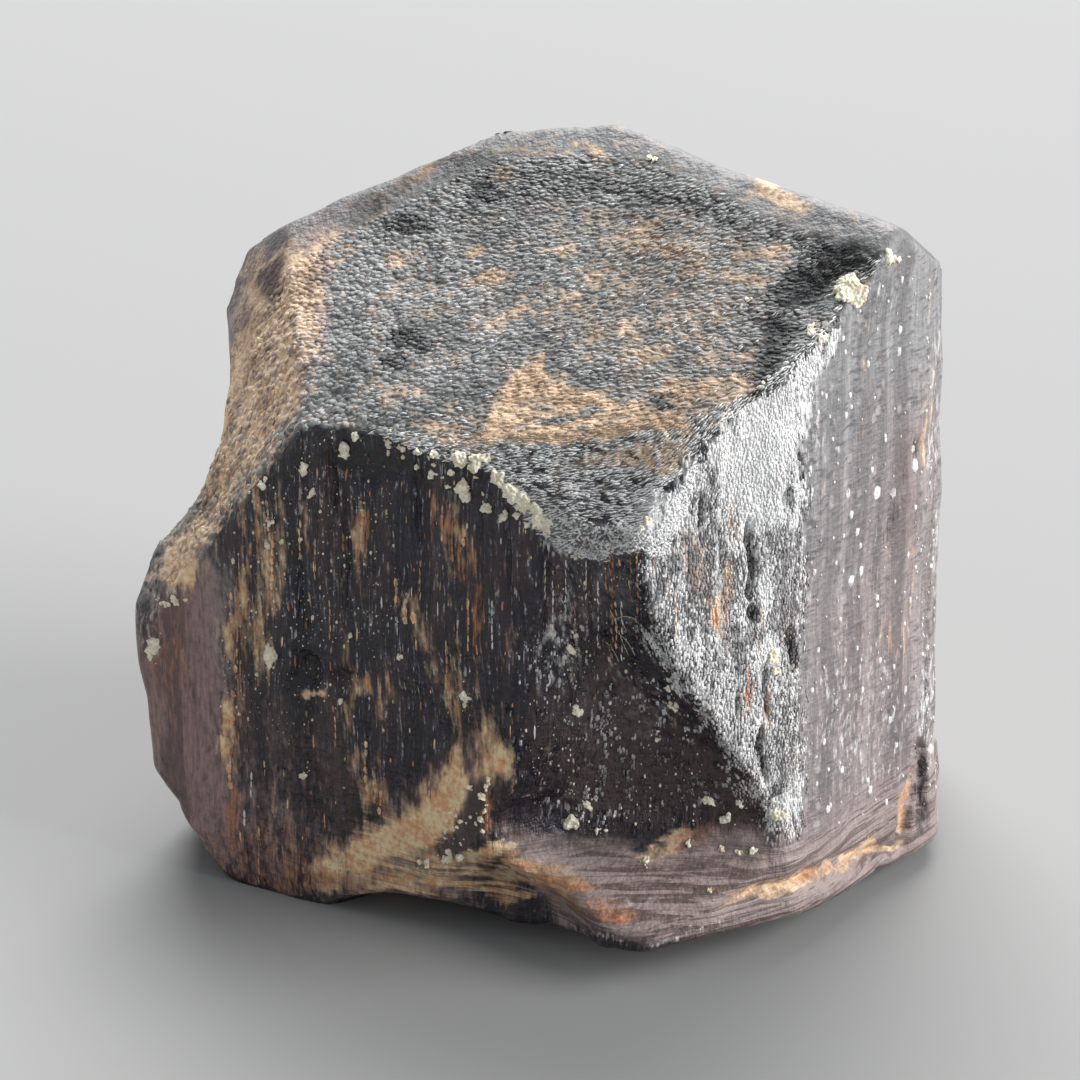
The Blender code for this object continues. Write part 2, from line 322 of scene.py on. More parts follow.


# Coats on the crystal: where clay, rust, pale crust and a grey frosted film lie on the black
# stone. The pale crust and the film also carry painted highlights and painted sheen, and the dark
# coat carries painted shade. Marks on the side that the camera sees are painted where the
# close-up shows them, and the hidden sides carry the same coats in drifts of their own.
CLAY_AREAS = (
    # outline in pixels, softness of its edge in pixels, share covered
    (((458, 444), (482, 424), (503, 400), (519, 374), (532, 353), (547, 351), (553, 372),
      (568, 387), (592, 396), (622, 401), (650, 408), (684, 420), (704, 432), (640, 434),
      (560, 443)), 10, 0.95),
    (((480, 436), (540, 392), (640, 410), (700, 430), (560, 446)), 12, 0.4),
    (((338, 868), (386, 824), (450, 783), (503, 742), (514, 756), (480, 792), (440, 842),
      (372, 876)), 12, 1.0),
    (((300, 890), (330, 850), (430, 768), (488, 716), (506, 752), (470, 850),
      (470, 905)), 26, 0.46),
    (((560, 215), (700, 205), (830, 240), (800, 290), (740, 420), (690, 440), (560, 340)), 30, 0.3),
    (((245, 270), (320, 240), (330, 300), (305, 410), (240, 500), (175, 590), (185, 545)), 18, 0.7),
)
CLAY_MARKS = (
    # column, row, half width and half height in pixels, turn in degrees, share covered
    (316, 692, 15, 5, -10, 0.62), (372, 682, 8, 8, 0, 0.6), (660, 250, 60, 16, 6, 0.62),
    (730, 275, 50, 12, 10, 0.62), (640, 232, 30, 10, 0, 0.6), (705, 392, 60, 20, -12, 0.66),
    (650, 356, 40, 12, -8, 0.6), (770, 250, 26, 10, 0, 0.6), (560, 300, 40, 14, 0, 0.36),
    (600, 275, 40, 14, 0, 0.42), (620, 330, 36, 12, -8, 0.48), (398, 262, 26, 10, -20, 0.62),
    (474, 252, 14, 8, 0, 0.8), (488, 276, 24, 9, -15, 0.8), (512, 316, 30, 9, -20, 0.62),
    (430, 300, 60, 30, 0, 0.25), (600, 460, 50, 10, -8, 0.45), (662, 456, 34, 18, 0, 0.62),
    (450, 420, 40, 14, -14, 0.45), (395, 395, 40, 26, 0, 0.3), (460, 436, 50, 9, -4, 0.5),
    (452, 350, 30, 8, -15, 0.4), (560, 250, 24, 7, 0, 0.5), (294, 296, 30, 18, -35, 0.85),
    (250, 352, 16, 40, 20, 0.75), (292, 360, 26, 46, 0, 0.45), (325, 262, 40, 14, -30, 0.5),
    (262, 420, 26, 30, 0, 0.55), (205, 520, 24, 46, 32, 0.36), (178, 562, 20, 26, 35, 0.78),
    (345, 232, 50, 8, -28, 0.42), (410, 182, 60, 7, -27, 0.42), (520, 150, 50, 5, 0, 0.42),
    (590, 152, 22, 6, 15, 0.55), (780, 192, 36, 7, 24, 0.66), (505, 172, 14, 8, 0, 0.8),
    (236, 620, 10, 70, 0, 0.5), (262, 600, 16, 80, 0, 0.42), (234, 725, 11, 60, 0, 0.62),
    (362, 522, 8, 30, 0, 0.45), (404, 604, 12, 18, -25, 0.5), (372, 682, 12, 10, 0, 0.5),
    (368, 765, 12, 30, 0, 0.42), (378, 792, 16, 20, 0, 0.5), (470, 860, 46, 10, -12, 0.78),
    (400, 888, 80, 10, 0, 0.6), (485, 876, 30, 10, 0, 0.6), (330, 868, 24, 14, -20, 0.55),
    (494, 402, 12, 2.5, -8, 0.55), (503, 388, 10, 2.5, -8, 0.5), (482, 424, 14, 2.5, -8, 0.55),
    (512, 372, 9, 2.0, -8, 0.5), (566, 376, 9, 2.0, -8, 0.45), (460, 432, 16, 3.0, -6, 0.45),
    (430, 690, 50, 90, 0, 0.18), (330, 560, 80, 90, 0, 0.16), (260, 540, 34, 60, 0, 0.34),
    (455, 540, 22, 50, 0, 0.3), (400, 720, 60, 60, 0, 0.16), (722, 600, 12, 46, 0, 0.5),
    (702, 545, 14, 18, 0, 0.4), (705, 598, 8, 12, 0, 0.55), (520, 872, 50, 14, -10, 0.72),
    (505, 892, 30, 8, 0, 0.6), (664, 842, 34, 10, -28, 0.75), (560, 880, 40, 16, 20, 0.58),
    (796, 880, 64, 8, -18, 0.86), (860, 853, 46, 5, -18, 0.72), (926, 400, 9, 80, 0, 0.26),
    (900, 640, 14, 26, 0, 0.28), (917, 560, 9, 80, 0, 0.2), (905, 800, 6, 36, 8, 0.6),
    (700, 580, 16, 60, 0, 0.34), (735, 520, 10, 40, 0, 0.28), (760, 640, 10, 50, 0, 0.34),
)
BARE_MARKS = (
    # places inside the clay that it has left bare
    (472, 812, 13, 44, 16, 0.85), (452, 846, 14, 14, 30, 0.6), (556, 418, 20, 5, -6, 0.75),
    (590, 411, 16, 4, -4, 0.7), (540, 407, 24, 4, -8, 0.35), (612, 420, 22, 3, -4, 0.45),
    (575, 428, 20, 3, -2, 0.35), (520, 428, 18, 3, -6, 0.35), (655, 405, 14, 6, 20, 0.5),
    (470, 770, 8, 26, 10, 0.4), (430, 800, 10, 12, 0, 0.25),
)
RUST_MARKS = (
    # rust-brown stains
    (232, 815, 8, 34, 0, 0.62), (166, 660, 26, 56, 0, 0.3), (150, 700, 18, 50, 0, 0.28),
    (205, 860, 30, 30, 0, 0.28), (444, 520, 9, 34, -14, 0.42), (462, 565, 9, 34, -8, 0.42),
    (476, 620, 7, 60, 0, 0.4), (486, 805, 7, 30, 0, 0.72), (365, 525, 6, 26, 0, 0.45),
    (690, 560, 9, 36, 0, 0.36), (725, 600, 9, 50, 0, 0.36), (748, 690, 5, 30, 0, 0.55),
    (770, 710, 5, 24, 0, 0.45), (560, 884, 60, 18, 28, 0.5), (600, 905, 34, 14, 30, 0.52),
    (690, 835, 28, 10, -20, 0.46), (905, 800, 6, 30, 8, 0.55), (893, 640, 10, 20, 0, 0.26),
    (265, 850, 56, 30, 0, 0.3), (310, 880, 56, 12, 0, 0.44), (530, 866, 50, 12, 16, 0.46),
    (240, 640, 12, 110, 0, 0.34), (820, 870, 40, 6, -20, 0.5), (700, 420, 14, 26, 0, 0.24),
)
PALE_AREAS = (
    # silvery crust on the etched face, partly a painted highlight
    (((702, 440), (762, 386), (800, 398), (798, 470), (786, 532), (742, 536),
      (716, 490)), 16, 0.95),
    (((640, 560), (668, 560), (692, 660), (724, 700), (772, 770), (776, 812), (744, 786),
      (704, 712), (658, 652)), 12, 0.52),
    (((640, 545), (700, 442), (800, 400), (804, 836), (776, 830), (700, 700)), 8, 0.42),
    (((765, 400), (836, 322), (846, 330), (824, 372), (812, 440), (790, 440)), 8, 0.7),
)
PALE_MARKS = (
    # silvery crust, partly painted highlight; the marks along outer edges and ridges are painted
    # highlights
    (620, 720, 70, 60, 0, 0.44), (560, 650, 30, 70, 0, 0.42), (600, 800, 90, 20, 0, 0.44),
    (136, 640, 8, 60, 0, 0.4), (150, 770, 9, 60, -14, 0.32), (132, 570, 14, 26, 20, 0.55),
    (504, 843, 26, 3, 20, 0.5), (540, 858, 28, 3, 24, 0.56), (574, 879, 26, 3, 36, 0.5),
    (640, 905, 40, 4, 4, 0.36), (600, 935, 60, 4, 6, 0.45), (700, 930, 60, 4, -14, 0.45),
    (285, 350, 30, 60, 0, 0.3), (245, 430, 22, 50, 20, 0.32), (290, 400, 20, 30, 0, 0.3),
    (786, 402, 12, 34, 0, 0.95), (655, 650, 12, 30, -20, 0.4), (692, 706, 14, 30, -30, 0.42),
    (738, 778, 14, 30, -30, 0.42), (860, 720, 70, 110, 0, 0.37), (935, 450, 8, 180, 0, 0.44),
    (870, 570, 50, 70, 0, 0.22), (928, 700, 9, 80, 0, 0.5), (560, 545, 50, 8, 12, 0.5),
    (748, 450, 22, 46, 0, 1.0), (768, 495, 13, 40, 0, 1.0), (775, 420, 20, 20, 0, 0.95),
    (664, 512, 44, 30, 0, 0.72), (690, 480, 26, 30, 30, 0.6), (730, 690, 30, 30, 0, 0.45),
    (772, 652, 11, 22, 0, 0.95), (640, 534, 26, 12, 0, 0.62), (796, 740, 7, 120, 0, 0.56),
    (780, 806, 14, 26, 0, 0.66), (765, 590, 10, 30, 0, 0.8), (150, 600, 10, 50, 12, 0.42),
    (812, 430, 16, 80, 0, 0.4), (806, 600, 8, 160, 0, 0.34), (870, 300, 40, 30, -40, 0.34),
    (880, 262, 20, 8, 0, 0.45), (152, 645, 10, 18, 0, 0.6), (175, 590, 16, 10, 0, 0.45),
)
THIN_PALE_MARKS = (
    # places where the silvery crust is worn thin
    (714, 590, 24, 46, 0, 0.5), (702, 545, 18, 22, 0, 0.35), (788, 590, 12, 70, 0, 0.45),
    (730, 640, 12, 26, 0, 0.35), (672, 590, 10, 30, 0, 0.3), (790, 540, 10, 24, 0, 0.4),
    (796, 650, 9, 150, 0, 0.4),
)
SMOOTH_LOBE = (
    # the left lobe of the foot, which has no layers
    (((100, 560), (230, 560), (300, 700), (356, 720), (356, 850), (330, 925), (180, 925),
      (90, 760)), 24, 1.0),
)
LEFT_END_FACE = ((190, 500), (240, 260), (330, 210), (330, 330), (300, 420), (225, 480))
FILM_AND_SHEEN_AREAS = (
    # grey or brown frosted film, partly painted sheen on the right-hand face, etched face and far
    # band
    (((228, 770), (300, 790), (350, 850), (340, 912), (260, 905), (205, 860)), 22, 0.52),
    (((232, 690), (330, 720), (340, 800), (300, 840), (232, 800)), 26, 0.28),
    (((300, 905), (330, 850), (420, 770), (480, 730), (505, 756), (478, 850),
      (480, 915)), 24, 0.56),
    (((560, 545), (640, 556), (640, 620), (610, 640), (560, 620)), 20, 0.3),
    (((796, 395), (850, 300), (885, 245), (960, 230), (960, 870), (800, 850), (800, 700)), 8, 0.95),
    (((652, 520), (720, 440), (798, 400), (800, 850), (760, 800), (700, 705),
      (648, 600)), 12, 0.88),
    (((496, 828), (560, 838), (640, 842), (720, 822), (800, 830), (960, 800), (960, 960),
      (560, 930)), 18, 0.84),
    (((150, 590), (200, 520), (232, 600), (226, 720), (245, 850), (220, 880), (170, 820),
      (135, 700)), 24, 0.82),
    (LEFT_END_FACE, 16, 0.95),
    (((205, 330), (225, 250), (280, 200), (380, 165), (480, 115), (610, 105), (700, 125),
      (860, 205), (960, 240), (925, 276), (860, 244), (760, 206), (690, 168), (610, 144),
      (500, 150), (420, 186), (340, 230), (286, 264), (256, 330), (236, 420)), 9, 1.0),
)
WARM_AREAS = (
    # places where film and stone are brown instead of grey
    (((228, 690), (360, 700), (360, 800), (330, 912), (210, 880)), 26, 0.9),
    (((500, 700), (600, 640), (660, 650), (712, 720), (790, 830), (700, 850),
      (500, 850)), 20, 0.95),
    (((300, 850), (360, 790), (500, 700), (550, 740), (530, 850), (480, 915), (320, 915)), 24, 1.0),
    (((120, 560), (200, 520), (225, 600), (235, 720), (330, 830), (340, 920), (200, 910),
      (110, 760)), 30, 1.0),
    (LEFT_END_FACE, 20, 0.75),
    (((470, 850), (600, 852), (700, 832), (800, 838), (960, 780), (960, 960),
      (470, 930)), 14, 0.65),
    (((800, 640), (880, 420), (960, 380), (960, 820), (800, 840)), 60, 0.44),
    (((890, 420), (925, 420), (925, 560), (880, 560)), 20, 0.6),
)
DARK_MARKS = (
    # stone rubbed bare, and painted shade in fissures, the crevice, the pit and under the
    # overhanging rim
    (203, 508, 16, 24, 30, 0.45), (143, 690, 12, 50, 0, 0.4), (215, 470, 10, 30, 20, 0.3),
    (474, 812, 11, 40, 16, 0.85), (456, 846, 12, 12, 30, 0.6), (385, 200, 44, 12, -28, 0.5),
    (832, 216, 26, 9, 25, 0.5), (690, 262, 100, 46, 8, 0.34), (655, 368, 80, 26, -8, 0.28),
    (560, 180, 130, 22, 3, 0.58), (700, 204, 90, 20, 16, 0.6), (800, 240, 60, 18, 24, 0.6),
    (470, 166, 50, 14, -14, 0.6), (500, 205, 70, 12, -8, 0.46), (768, 320, 30, 30, -40, 0.5),
    (610, 715, 70, 50, 20, 0.62), (640, 775, 100, 56, 0, 0.7), (710, 795, 60, 30, 20, 0.6),
    (408, 336, 20, 13, 0, 1.0), (490, 190, 30, 16, 0, 1.0), (610, 537, 40, 12, 0, 0.45),
    (560, 175, 60, 10, 0, 0.4), (404, 222, 28, 12, -20, 0.9), (700, 204, 50, 12, 15, 0.42),
    (830, 258, 44, 16, 18, 0.95), (396, 360, 10, 6, 0, 0.7), (356, 318, 12, 8, -20, 0.6),
    (640, 262, 10, 5, 0, 0.55), (806, 290, 40, 22, -40, 1.0), (776, 345, 40, 17, -45, 1.0),
    (765, 385, 34, 10, -30, 0.6), (266, 282, 24, 13, -30, 0.62), (308, 284, 14, 8, 0, 0.6),
    (245, 325, 14, 12, 0, 0.45), (750, 560, 4, 34, 0, 0.72), (752, 612, 6, 12, 0, 0.72),
    (790, 650, 5, 20, 0, 0.72), (764, 690, 4, 30, 0, 0.5), (760, 755, 5, 26, 0, 0.72),
    (786, 500, 5, 14, 0, 0.66), (800, 468, 4, 18, 0, 0.55), (740, 740, 14, 22, -30, 0.5),
    (915, 445, 9, 14, 0, 0.55), (888, 520, 7, 30, 0, 0.46), (900, 470, 12, 18, 0, 0.34),
    (660, 408, 14, 6, 20, 0.55), (921, 770, 7, 30, 0, 0.72), (925, 815, 7, 26, 6, 0.62),
    (700, 440, 20, 6, -30, 0.36), (480, 280, 20, 8, 0, 0.36), (360, 300, 18, 8, -20, 0.4),
    (600, 380, 26, 8, -10, 0.4), (330, 440, 30, 20, 0, 0.4), (690, 395, 20, 6, 20, 0.45),
    (308, 664, 17, 18, 20, 0.62), (375, 462, 44, 13, 4, 0.85),
)


def lay_coats(piece, places, normals, tones, gaps, thick=None):
    """Stores on each corner of the piece how thickly each coat lies there.

    The marks cover the side that the close-up shows, and drifts of each coat the hidden side.
    """
    millimetres = places / MM
    seen = faces_camera(normals)
    hidden = 1.0 - seen
    steep = 1.0 - rise(0.25, 0.45, np.abs(normals[:, 2]))
    top = rise(0.3, 0.5, normals[:, 2]) * rise(5.0, 10.0, millimetres[:, 2])
    top *= 1.0 - outlined(places, normals, PRISM_FACES_SEEN)
    top = np.maximum(top, outlined(places, normals, FRONT_RIM, 4.0))
    foot = 1.0 - rise(3.5, 7.0, millimetres[:, 2])
    foot *= 1.0 - outlined(places, normals, SMOOTH_LOBE)
    drift = waves(millimetres / 5.0, 11)
    patches = waves(millimetres / 2.2, 12)
    clay = outlined(places, normals, CLAY_AREAS, 8.0)
    clay = np.maximum(clay, brushed(places, normals, CLAY_MARKS, 8.0))
    clay *= 1.0 - brushed(places, normals, BARE_MARKS)
    clay = np.maximum(clay, hidden * (0.08 + 0.30 * drift + 0.25 * patches))
    rust = brushed(places, normals, RUST_MARKS)
    rust = np.maximum(rust, hidden * (0.12 + 0.3 * waves(millimetres / 3.0, 13)))
    pale = outlined(places, normals, PALE_AREAS, 6.0)
    pale = np.maximum(pale, brushed(places, normals, PALE_MARKS))
    pale *= 1.0 - brushed(places, normals, THIN_PALE_MARKS)
    pale = np.maximum(pale, hidden * 0.35 * waves(millimetres / 2.6, 14))
    # Painted sheen: pale film on the upper edges that turn away from the camera.
    rim = rise(-0.50, -0.10, normals @ np.array(ahead)) * rise(11.0, 16.0, millimetres[:, 2])
    film_and_sheen = np.maximum(outlined(places, normals, FILM_AND_SHEEN_AREAS, 6.0), 0.9 * rim * seen)
    film_and_sheen = np.maximum(film_and_sheen, hidden * (0.50 - 0.50 * waves(millimetres / (6, 6, 14), 15)))
    warm = np.maximum(outlined(places, normals, WARM_AREAS, 8.0), hidden * (0.3 + 0.3 * patches))
    dark = brushed(places, normals, DARK_MARKS) * (1.0 - top)
    dark += brushed(places, normals, DARK_MARKS, 13.0) * top
    coats = {"clay": clay, "rust": rust, "pale": pale, "film_and_sheen": film_and_sheen, "dark": dark, "warm": warm,
             "top": top, "steep": steep, "foot": foot, "tone": tones, "gap": gaps}
    for name, amounts in (thick or {}).items():
        coats[name] = np.maximum(coats[name], amounts)
    for name, amounts in coats.items():
        layer = piece.data.attributes.new(name, "FLOAT", "POINT")
        layer.data.foreach_set("value", np.clip(amounts, 0.0, 1.0).astype(np.float32))


ETCHED_FACE = (
    # the silvery face below the front right rim
    (((655, 548), (700, 442), (762, 400), (834, 324), (828, 350), (808, 396), (800, 440),
      (800, 520), (802, 700), (800, 836), (770, 834), (734, 782), (692, 708), (646, 648),
      (636, 575)), 10, 1.0),
)
places = corner_places(crystal)
normals = corner_normals(crystal)
under_scales = rise(0.3, 0.5, normals[:, 2]) * rise(7.0 * MM, 10.0 * MM, places[:, 2])
under_scales = np.maximum(under_scales, 0.35 * outlined(places, normals, ETCHED_FACE))
lay_coats(crystal, places, normals, np.full(len(places), 0.3), 0.5 + 0.4 * under_scales)


# Tourmaline: black-brown, glassy to satin. Under its coats the prism shows fine upright lines and
# pale dashes, the end faces a mottled grey-green skin, and the foot thin level layers.
def add_node(tree, kind, inputs=None, **settings):
    """A node with these settings; an input is a value, or the output that feeds it."""
    node = tree.nodes.new(kind)
    for name, value in settings.items():
        setattr(node, name, value)
    for name, value in (inputs or {}).items():
        if isinstance(value, bpy.types.NodeSocket):
            tree.links.new(value, node.inputs[name])
        else:
            node.inputs[name].default_value = value
    return node


def math_node(tree, operation, first, second=0.0, third=0.0):
    inputs = {0: first, 1: second, 2: third}
    return add_node(tree, "ShaderNodeMath", inputs, operation=operation).outputs[0]


def over(tree, amount, under, coat):
    """The colour of a coat over another colour, where the amount says."""
    inputs = {0: amount, 6: under, 7: coat}
    return add_node(tree, "ShaderNodeMix", inputs, data_type="RGBA").outputs[2]


def blended(tree, amount, first, second):
    """A value between two others."""
    return add_node(tree, "ShaderNodeMix", {0: amount, 2: first, 3: second}).outputs[0]


def between(tree, value, low, high, start=0.0, end=1.0):
    """Goes smoothly from start to end as the value goes from low to high."""
    inputs = {"Value": value, "From Min": low, "From Max": high, "To Min": start, "To Max": end}
    return add_node(tree, "ShaderNodeMapRange", inputs, interpolation_type="SMOOTHSTEP").outputs[0]


def placed_at(tree, scale):
    """Places on the piece, in units of one over the scale, in metres, each way."""
    where = tree.nodes.new("ShaderNodeTexCoord").outputs["Object"]
    return add_node(tree, "ShaderNodeMapping", {"Vector": where, "Scale": scale}).outputs[0]


def placed_noise(tree, scale, detail=3.0, rough=0.55, twist=0.0):
    """Noise from 0 to 1 whose grains measure one over the scale, in metres, each way."""
    inputs = {"Vector": placed_at(tree, scale), "Scale": 1.0, "Detail": detail,
              "Roughness": rough, "Distortion": twist}
    noise = add_node(tree, "ShaderNodeTexNoise", inputs).outputs[0]
    inputs = {"Value": noise, "From Min": 0.27, "From Max": 0.73}
    return add_node(tree, "ShaderNodeMapRange", inputs).outputs[0]


def ragged_coat_group():
    """A coat's cover, broken up by a grain and thicker in the gaps between scales."""
    group = bpy.data.node_groups.new("ragged_coat", "ShaderNodeTree")
    for name in ("Cover", "Grain", "Raggedness", "Sharpness", "Gap", "Gap Share"):
        group.interface.new_socket(name, in_out="INPUT", socket_type="NodeSocketFloat")
    group.interface.new_socket("Mask", in_out="OUTPUT", socket_type="NodeSocketFloat")
    given = group.nodes.new("NodeGroupInput")
    made = group.nodes.new("NodeGroupOutput")
    centred = math_node(group, "SUBTRACT", given.outputs["Grain"], 0.5)
    added = math_node(group, "MULTIPLY_ADD", centred, given.outputs["Raggedness"],
                      given.outputs["Cover"])
    centred_gap = math_node(group, "SUBTRACT", given.outputs["Gap"], 0.5)
    added = math_node(group, "MULTIPLY_ADD", centred_gap, given.outputs["Gap Share"], added)
    low = math_node(group, "SUBTRACT", 0.5, given.outputs["Sharpness"])
    high = math_node(group, "ADD", 0.5, given.outputs["Sharpness"])
    group.links.new(between(group, added, low, high), made.inputs[0])
    return group


ragged_coat = ragged_coat_group()

# Colours are red, green and blue. Where there are two, a grain runs from one to the other.
BLACK_STONE = (0.0055, 0.0046, 0.0110), (0.030, 0.022, 0.028)
BROWN_STONE = (0.052, 0.031, 0.028)
BROWN_BAND = (0.060, 0.034, 0.031)
BLUE_BLACK_BAND = (0.0050, 0.0055, 0.0100)
PALE_WEAVE = (0.093, 0.092, 0.132)
PALE_DASH = (0.40, 0.39, 0.39)
SCALY_SKIN_AND_SHEEN = (0.110, 0.112, 0.112), (0.37, 0.37, 0.365)
GREENISH_SKIN = (0.085, 0.092, 0.088)
BROWNISH_SKIN = (0.24, 0.19, 0.15)
COOL_FILM_AND_SHEEN = (0.142, 0.140, 0.144), (0.315, 0.308, 0.310)
COOL_FILM_DRIFT = (0.245, 0.225, 0.230)
COOL_LIGHT_BAND = (0.33, 0.325, 0.325)
COOL_DARK_BAND = (0.125, 0.122, 0.126)
WARM_FILM = (0.150, 0.092, 0.086), (0.41, 0.280, 0.258)
WARM_LIGHT_BAND = (0.34, 0.24, 0.232)
WARM_DARK_BAND = (0.088, 0.046, 0.045)
FILM_TICK = (0.10, 0.094, 0.098)
FILM_SPOT = (0.42, 0.41, 0.39)
FOOT_LIGHT_LAYER = (0.37, 0.285, 0.265)
FOOT_DARK_LAYER = (0.075, 0.048, 0.044)
GAP_SHADE = (0.034, 0.033, 0.034)
SILVERY_CRUST_AND_HIGHLIGHT = (0.55, 0.545, 0.54), (0.92, 0.92, 0.91)
CLAY = (0.36, 0.235, 0.145), (0.82, 0.61, 0.42)
CLAY_DRIFT = (0.33, 0.21, 0.135)
CLAY_ON_PRISM = (0.76, 0.38, 0.185), (1.0, 0.78, 0.48)
RUST = (0.19, 0.070, 0.036), (0.58, 0.27, 0.135)
BARE_STONE_AND_SHADE = (0.016, 0.016, 0.017), (0.074, 0.050, 0.053)

stone = bpy.data.materials.new("tourmaline")
stone.use_nodes = True
tree = stone.node_tree
shader = tree.nodes["Principled BSDF"]


def stored(name):
    """An amount that lay_coats has stored on the mesh."""
    return add_node(tree, "ShaderNodeAttribute", attribute_name=name).outputs["Fac"]


def coat(name, grain, raggedness, sharpness, gap_share=0.0):
    """Where a stored coat covers the stone, with an edge that is broken up by the grain."""
    node = add_node(tree, "ShaderNodeGroup", node_tree=ragged_coat)
    tree.links.new(stored(name), node.inputs["Cover"])
    tree.links.new(grain, node.inputs["Grain"])
    tree.links.new(gap, node.inputs["Gap"])
    tree.links.new(blended(tree, top, raggedness, 0.7 * raggedness), node.inputs["Raggedness"])
    tree.links.new(blended(tree, top, sharpness, 1.25 * sharpness), node.inputs["Sharpness"])
    node.inputs["Gap Share"].default_value = gap_share
    return node.outputs[0]


def shaded(amount, first, second):
    """A colour between two, each given as red, green and blue."""
    return over(tree, amount, (*first, 1.0), (*second, 1.0))


def covered(colour, amount, coat_colour):
    """A colour under a coat, whose colour is a node's or is given as red, green and blue."""
    if not isinstance(coat_colour, bpy.types.NodeSocket):
        coat_colour = (*coat_colour, 1.0)
    return over(tree, amount, colour, coat_colour)


def product(first, second):
    return math_node(tree, "MULTIPLY", first, second)


def toned(colour, pattern, low, high, most, tone_colour, share=1.0):
    """A colour over another one, growing to this much as the pattern goes from low to high."""
    amount = product(between(tree, pattern, low, high, 0.0, most), share)
    return covered(colour, amount, tone_colour)


top, steep, foot, tone, warm, gap = (
    stored(name) for name in ("top", "steep", "foot", "tone", "warm", "gap"))
broad = placed_noise(tree, (360, 360, 210), 4.0, 0.6)
soft = placed_noise(tree, (1100, 1100, 1100), 3.0)
fine = placed_noise(tree, (3800, 3800, 3800), 2.0)
streak = placed_noise(tree, (2300, 2300, 130), 4.0, 0.65)
blob = placed_noise(tree, (4000, 4000, 1500), 4.0, 0.65)
hair = placed_noise(tree, (8500, 8500, 750), 2.0, 0.6)
layers = placed_noise(tree, (240, 240, 4600), 4.0, 0.7, 0.6)
bands = placed_noise(tree, (1000, 1000, 14), 3.0, 0.6)
ribs = placed_noise(tree, (1300, 1300, 5000), 2.0)
drip = placed_noise(tree, (1500, 1500, 230), 3.0, 0.6)
medium_grain = blended(tree, steep, soft, blob)
fine_grain = blended(tree, steep, fine, hair)
mixed_grain = blended(tree, 0.5, medium_grain, fine_grain)

# Bare prism: upright bands, a fine pale weave and single pale dashes on black-brown stone.
colour = shaded(between(tree, streak, 0.35, 0.9), *BLACK_STONE)
brownness = math_node(tree, "MULTIPLY_ADD", warm, 0.5, 0.45)
colour = covered(colour, product(between(tree, broad, 0.40, 0.85), brownness), BROWN_STONE)
brown_drift = product(steep, between(tree, broad, 0.2, 0.7, 0.3, 1.0))
colour = toned(colour, bands, 0.48, 0.78, 0.85, BROWN_BAND, brown_drift)
colour = toned(colour, bands, 0.48, 0.25, 0.8, BLUE_BLACK_BAND, steep)
weave = product(between(tree, hair, 0.45, 0.85), between(tree, ribs, 0.35, 0.75, 0.25, 1.0))
weave = product(weave, between(tree, warm, 0.2, 0.9, 0.7, 0.25))
colour = covered(colour, product(weave, steep), PALE_WEAVE)
dash = product(between(tree, hair, 0.66, 0.86), between(tree, fine, 0.45, 0.70))
dash = product(dash, between(tree, warm, 0.2, 0.9, 1.0, 0.1))
colour = covered(colour, product(dash, steep), PALE_DASH)

# End faces: grey to greenish scales, each with a tone of its own. Their grey is partly painted
# sheen.
scale_colour = shaded(tone, *SCALY_SKIN_AND_SHEEN)
scale_colour = toned(scale_colour, broad, 0.45, 0.8, 0.5, GREENISH_SKIN)
scale_colour = toned(scale_colour, soft, 0.5, 0.9, 0.5, BROWNISH_SKIN)
colour = covered(colour, top, scale_colour)

# Frosted film: cool grey or warm brown, with upright bands, level ticks and pale spots. The cool
# grey also stands for painted sheen on the right-hand and etched faces and the far band.
cool_film_and_sheen = shaded(mixed_grain, *COOL_FILM_AND_SHEEN)
cool_film_and_sheen = toned(cool_film_and_sheen, broad, 0.4, 0.9, 0.4, COOL_FILM_DRIFT)
cool_film_and_sheen = toned(cool_film_and_sheen, bands, 0.50, 0.75, 0.85, COOL_LIGHT_BAND, steep)
cool_film_and_sheen = toned(cool_film_and_sheen, bands, 0.50, 0.20, 0.6, COOL_DARK_BAND, steep)
warm_film = shaded(mixed_grain, *WARM_FILM)
warm_film = toned(warm_film, bands, 0.52, 0.25, 0.7, WARM_DARK_BAND, steep)
warm_film = toned(warm_film, bands, 0.55, 0.80, 0.5, WARM_LIGHT_BAND, steep)
film_and_sheen_colour = covered(cool_film_and_sheen, warm, warm_film)
tick = product(between(tree, ribs, 0.48, 0.72), between(tree, soft, 0.35, 0.7, 0.2, 0.8))
tick = product(tick, between(tree, warm, 0.2, 0.9, 1.0, 0.25))
film_and_sheen_colour = covered(film_and_sheen_colour, product(tick, steep), FILM_TICK)
spot_inputs = {"Vector": placed_at(tree, (1500, 1500, 1200)), "Scale": 1.0}
spots = add_node(tree, "ShaderNodeTexVoronoi", spot_inputs).outputs["Distance"]
spot = product(between(tree, spots, 0.38, 0.16), between(tree, soft, 0.40, 0.70))
spot = product(spot, between(tree, warm, 0.2, 0.8, 0.62, 0.0))
film_and_sheen_colour = covered(film_and_sheen_colour, product(spot, steep), FILM_SPOT)
film_and_sheen_colour = covered(film_and_sheen_colour, product(foot, 0.62), FOOT_LIGHT_LAYER)
film_and_sheen_colour = toned(film_and_sheen_colour, layers, 0.42, 0.66, 0.84, FOOT_DARK_LAYER, foot)
film_and_sheen = coat("film_and_sheen", medium_grain, 0.6, 0.35)
colour = covered(colour, film_and_sheen, film_and_sheen_colour)
# Painted shade in the gaps between and under the scales and slivers.
colour = toned(colour, gap, 0.5, 1.0, 0.46, GAP_SHADE)

